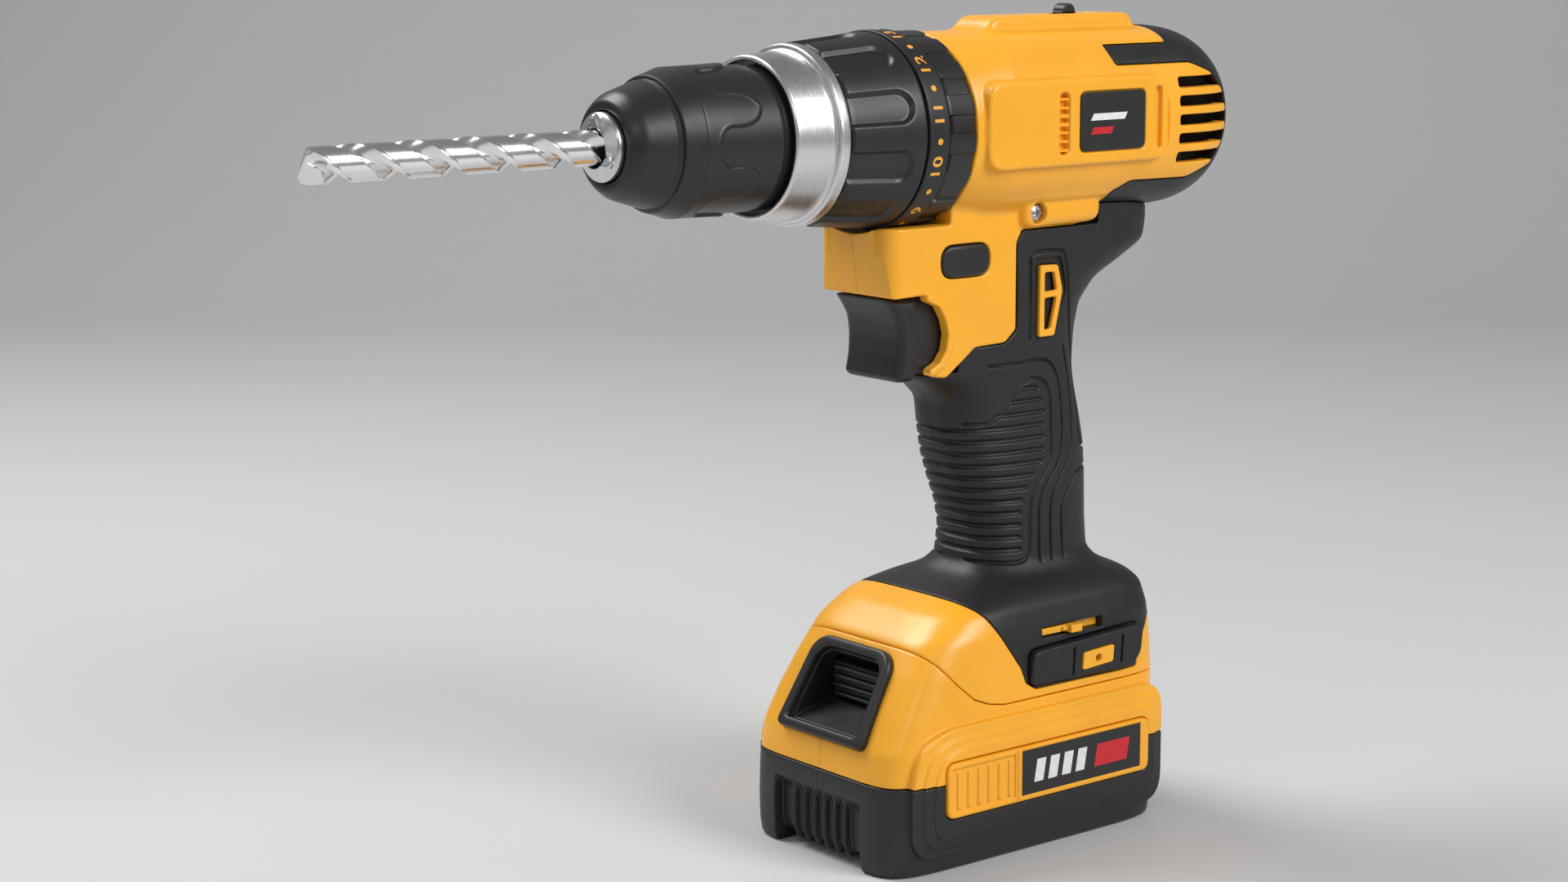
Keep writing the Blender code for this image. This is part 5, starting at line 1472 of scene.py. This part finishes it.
def foot_pad_mesh():
    block = Block((16.8, -34.8, -164.4), (65.0, -30.2, -149.6), 0.3)
    outline = block.side(FOOT_PAD, 2.6, 5)
    field = soft_max(outline, np.abs(block.across + 32.5) - 1.6, 0.9)
    hole = block.side(FOOT_BUTTON, 0.9)
    field = soft_max(field, -(hole - 0.2), 0.3)
    lift = (block.along - 41.0) * 0.04
    for near in (34.6, 54.6):
        line = np.abs(block.along - near - 0.06 * (block.up + 158)) - 0.35
        line = np.maximum(line, np.abs(block.up + 157.6 - lift) - 4.4)
        field = soft_max(field, -np.maximum(line, block.across + 33.2), 0.3)
    return block.surface(field, "foot_pad_skin")


def slider_mesh():
    block = Block((24.0, -33.6, -149.8), (40.6, -28.0, -146.4), 0.2)
    along, across, up = block.along, block.across, np.abs(block.up + 148.1)
    bar = soft_max(np.maximum(np.abs(along - 32.3) - 7.6, up - 1.0), np.abs(across + 29.6) - 0.95, 0.3)
    tab = soft_max(soft_max(np.abs(along - 36.5) - 2.3, up - 1.2, 0.4), np.abs(across + 31.4) - 1.75, 0.4)
    wings = soft_max(np.maximum(np.abs(along - 36.0) - 3.6, up - 0.55), np.abs(across + 30.8) - 0.7, 0.3)
    return block.surface(soft_min(soft_min(bar, tab, 0.3), wings, 0.3), "foot_slider_skin")


class DRILL_OT_pack(bpy.types.Operator):
    """Build the battery pack"""

    bl_idname = "drill.pack"
    bl_label = "Battery pack"

    def execute(self, context):
        look, cell = finishes(), moulding_cell()
        upper = merged("pack_upper_skin", [upper_case_mesh(side, cell) for side in (RIGHT, LEFT)])
        shown(
            "pack_upper_skin", upper, look["yellow"], "battery", "battery_upper_case", slot="yellow_housing",
        )
        lower = merged("pack_lower_skin", [lower_case_mesh(side, cell) for side in (RIGHT, LEFT)])
        shown("pack_lower_skin", lower, look["black"], "battery", "battery_lower_case", slot="black_plastic")
        shown(
            "window_frame_skin", window_frame_mesh(0.7 * cell), look["black"],
            "battery", "latch_frame", slot="black_plastic",
        )
        shown("recess_lining", cavity_mesh(0.8 * cell), look["black"], "battery", slot="black_plastic")
        shown(
            "latch_skin", latch_mesh(0.5 * cell), look["black"],
            "release", "release_button", slot="black_plastic",
        )
        for tag, side in (("right", RIGHT), ("left", LEFT)):
            mesh = badge_plate_mesh(side, 0.6 * cell)
            mesh.name = f"badge_plate_skin_{tag}"
            shown(mesh.name, mesh, look["yellow"], "battery", f"badge_plate_{tag}", slot="yellow_housing")
            label = plate(f"pack_label_{tag}", [LABEL], 0.3, 0.06, side_frame(side * 37.82))
            shown(label.name, label, look["black"], "battery", slot="black_plastic")
            for colour, shapes in label_marks(side).items():
                mark = plate(f"pack_{colour}_{tag}", shapes, 0.06, 0.015, side_frame(side * 37.985))
                shown(mark.name, mark, look[colour], "battery", slot="black_plastic")
        return {"FINISHED"}


def label_marks(side):
    """A plain gauge on the label: four charge bars and a red tail."""
    bar = [(15.0, -190.2), (18.6, -190.2), (19.8, -183.4), (16.2, -183.4)]
    bars = [[(x + LABEL_BAR_PITCH * i, y) for x, y in bar] for i in range(4)]
    tail = [[(39.6, -190.2), (53.2, -190.2), (54.4, -183.4), (40.8, -183.4)]]
    if side == LEFT:
        bars = [[(LABEL_MIRROR - x, y) for x, y in shape] for shape in bars]
        tail = [[(LABEL_MIRROR - x, y) for x, y in shape] for shape in tail]
    return {"white_mark": bars, "red_mark": tail}


class DRILL_OT_works(bpy.types.Operator):
    """Give the gears, motor, cells and other inner pieces their finishes"""

    bl_idname = "drill.works"
    bl_label = "Inner works"

    def execute(self, context):
        look = finishes()
        groups = {
            "steel": (
                "chuck_jaw_1", "chuck_jaw_2", "chuck_jaw_3",
                "chuck_nut", "chuck_screw", "spindle", "spindle_bearing", "clutch_spring",
            ),
            "gear": (
                "ring_gear", "sun_pinion", "planet_carrier",
                "planet_gear_1", "planet_gear_2", "planet_gear_3",
            ),
            "cast": ("gear_case",),
            "can": ("motor_can",),
            "copper": ("armature",),
            "carbon": ("brush_upper", "brush_lower"),
            "black": ("motor_end_cap", "cooling_fan", "switch_module", "terminal_block"),
            "cell": tuple(f"cell_pair_{index}" for index in range(1, 6)),
        }
        for finish, nodes in groups.items():
            for node in nodes:
                mesh = frame["nodes"][node].data
                mesh.materials.clear()
                mesh.materials.append(look[finish])
        return {"FINISHED"}


class DRILL_OT_stage(bpy.types.Operator):
    """Lay a pale floor and backdrop, with soft lights and a camera"""

    bl_idname = "drill.stage"
    bl_label = "Stage"

    def execute(self, context):
        settings = context.scene.drill_stage
        floor_finish = Finish("pale_floor")
        tone = tuple(settings.floor)
        cloud = floor_finish.ramp(floor_finish.noise(400.0, 3.0), 0.3, 0.7, 0.0, 1.0)
        base = floor_finish.mixed(cloud, scaled(tone, 0.98), tone)
        floor_finish.done(base, floor_finish.ramp(cloud, 0, 1, 0.55, 0.6))
        backdrop(floor_finish.material)
        camera()
        world = bpy.data.worlds.new("studio")
        world.use_nodes = True
        world.node_tree.nodes["Background"].inputs["Color"].default_value = (0.96, 0.97, 1.0, 1.0)
        world.node_tree.nodes["Background"].inputs["Strength"].default_value = 0.24
        context.scene.world = world
        context.scene.view_settings.view_transform = "Standard"
        target = Vector((0.0, 0.0, 0.13))
        for name, place, size, power in (
            ("key", (0.35, -1.15, 0.95), 0.8, settings.key),
            ("left_fill", (-1.3, -0.15, 0.55), 0.9, 0.06 * settings.key),
            ("top_rim", (-0.35, 0.7, 1.1), 0.7, 0.8 * settings.key),
            ("front_strip", (-0.9, -0.75, 0.9), 0.35, 0.09 * settings.key),
        ):
            light = bpy.data.lights.new(name, "AREA")
            light.shape = "DISK"
            light.size = size
            light.energy = power
            lamp = bpy.data.objects.new(name, light)
            lamp.location = place
            lamp.rotation_euler = (target - lamp.location).to_track_quat("-Z", "Y").to_euler()
            context.scene.collection.objects.link(lamp)
        return {"FINISHED"}


def backdrop(material):
    """A floor that curves up into a wall behind the object."""
    profile = [(-2.2, 0.0), (1.1, 0.0)]
    profile += [(1.1 + 0.6 * math.sin(a), 0.6 - 0.6 * math.cos(a)) for a in np.linspace(0.1, math.pi / 2, 16)]
    profile.append((1.7, 2.6))
    turn = Matrix.Rotation(math.radians(-38.656), 3, "Z")
    points, faces = [], []
    for reach, up in profile:
        for across in (-3.0, 3.0):
            points.append(turn @ Vector((across, reach, up)))
    for index in range(len(profile) - 1):
        faces.append((2 * index, 2 * index + 1, 2 * index + 3, 2 * index + 2))
    mesh = bpy.data.meshes.new("floor")
    mesh.from_pydata(points, [], faces)
    mesh.materials.append(material)
    mesh.shade_smooth()
    floor = bpy.data.objects.new("floor", mesh)
    bpy.context.scene.collection.objects.link(floor)
    return floor


def camera():
    yaw, pitch, roll = math.radians(38.656), math.radians(10.248), math.radians(-0.239)
    forward = Vector((math.sin(yaw) * math.cos(pitch), math.cos(yaw) * math.cos(pitch), -math.sin(pitch)))
    side = forward.cross(Vector((0, 0, 1))).normalized()
    top = side.cross(forward)
    right = math.cos(roll) * side + math.sin(roll) * top
    upward = -math.sin(roll) * side + math.cos(roll) * top
    lens = bpy.data.cameras.new("camera")
    lens.lens, lens.sensor_width = 66.52, 36.0
    obj = bpy.data.objects.new("camera", lens)
    turn = Matrix((right, upward, -forward)).transposed().to_4x4()
    obj.matrix_world = Matrix.Translation(Vector((-0.5736, -0.6319, 0.2719))) @ turn
    bpy.context.scene.collection.objects.link(obj)
    bpy.context.scene.camera = obj


# ---------------------------------------------------------------- panel and run

STEPS_IN_ORDER = (
    DRILL_OT_bit,
    DRILL_OT_chuck,
    DRILL_OT_collars,
    DRILL_OT_housing,
    DRILL_OT_trigger,
    DRILL_OT_handle,
    DRILL_OT_foot,
    DRILL_OT_pack,
    DRILL_OT_works,
    DRILL_OT_stage,
)


class DRILL_PT_panel(bpy.types.Panel):
    bl_idname = "DRILL_PT_panel"
    bl_label = "Cordless drill"
    bl_space_type = "VIEW_3D"
    bl_region_type = "UI"
    bl_category = "Drill"

    def draw(self, context):
        for group in (context.scene.drill_finish, context.scene.drill_detail, context.scene.drill_stage):
            for name in group.__annotations__:
                self.layout.prop(group, name)
        for step in STEPS_IN_ORDER:
            self.layout.operator(step.bl_idname)


GROUPS = {"drill_finish": DrillFinish, "drill_detail": DrillDetail, "drill_stage": DrillStage}


def register():
    for cls in (*GROUPS.values(), *STEPS_IN_ORDER, DRILL_PT_panel):
        bpy.utils.register_class(cls)
    for name, group in GROUPS.items():
        setattr(bpy.types.Scene, name, PointerProperty(type=group))


def unregister():
    for name in GROUPS:
        delattr(bpy.types.Scene, name)
    for cls in reversed((*GROUPS.values(), *STEPS_IN_ORDER, DRILL_PT_panel)):
        bpy.utils.unregister_class(cls)


def main():
    register()
    bpy.ops.drill.bit()
    bpy.ops.drill.chuck()
    bpy.ops.drill.collars()
    bpy.ops.drill.housing()
    bpy.ops.drill.trigger()
    bpy.ops.drill.handle()
    bpy.ops.drill.foot()
    bpy.ops.drill.pack()
    bpy.ops.drill.works()
    bpy.ops.drill.stage()


if __name__ == "__main__":
    main()
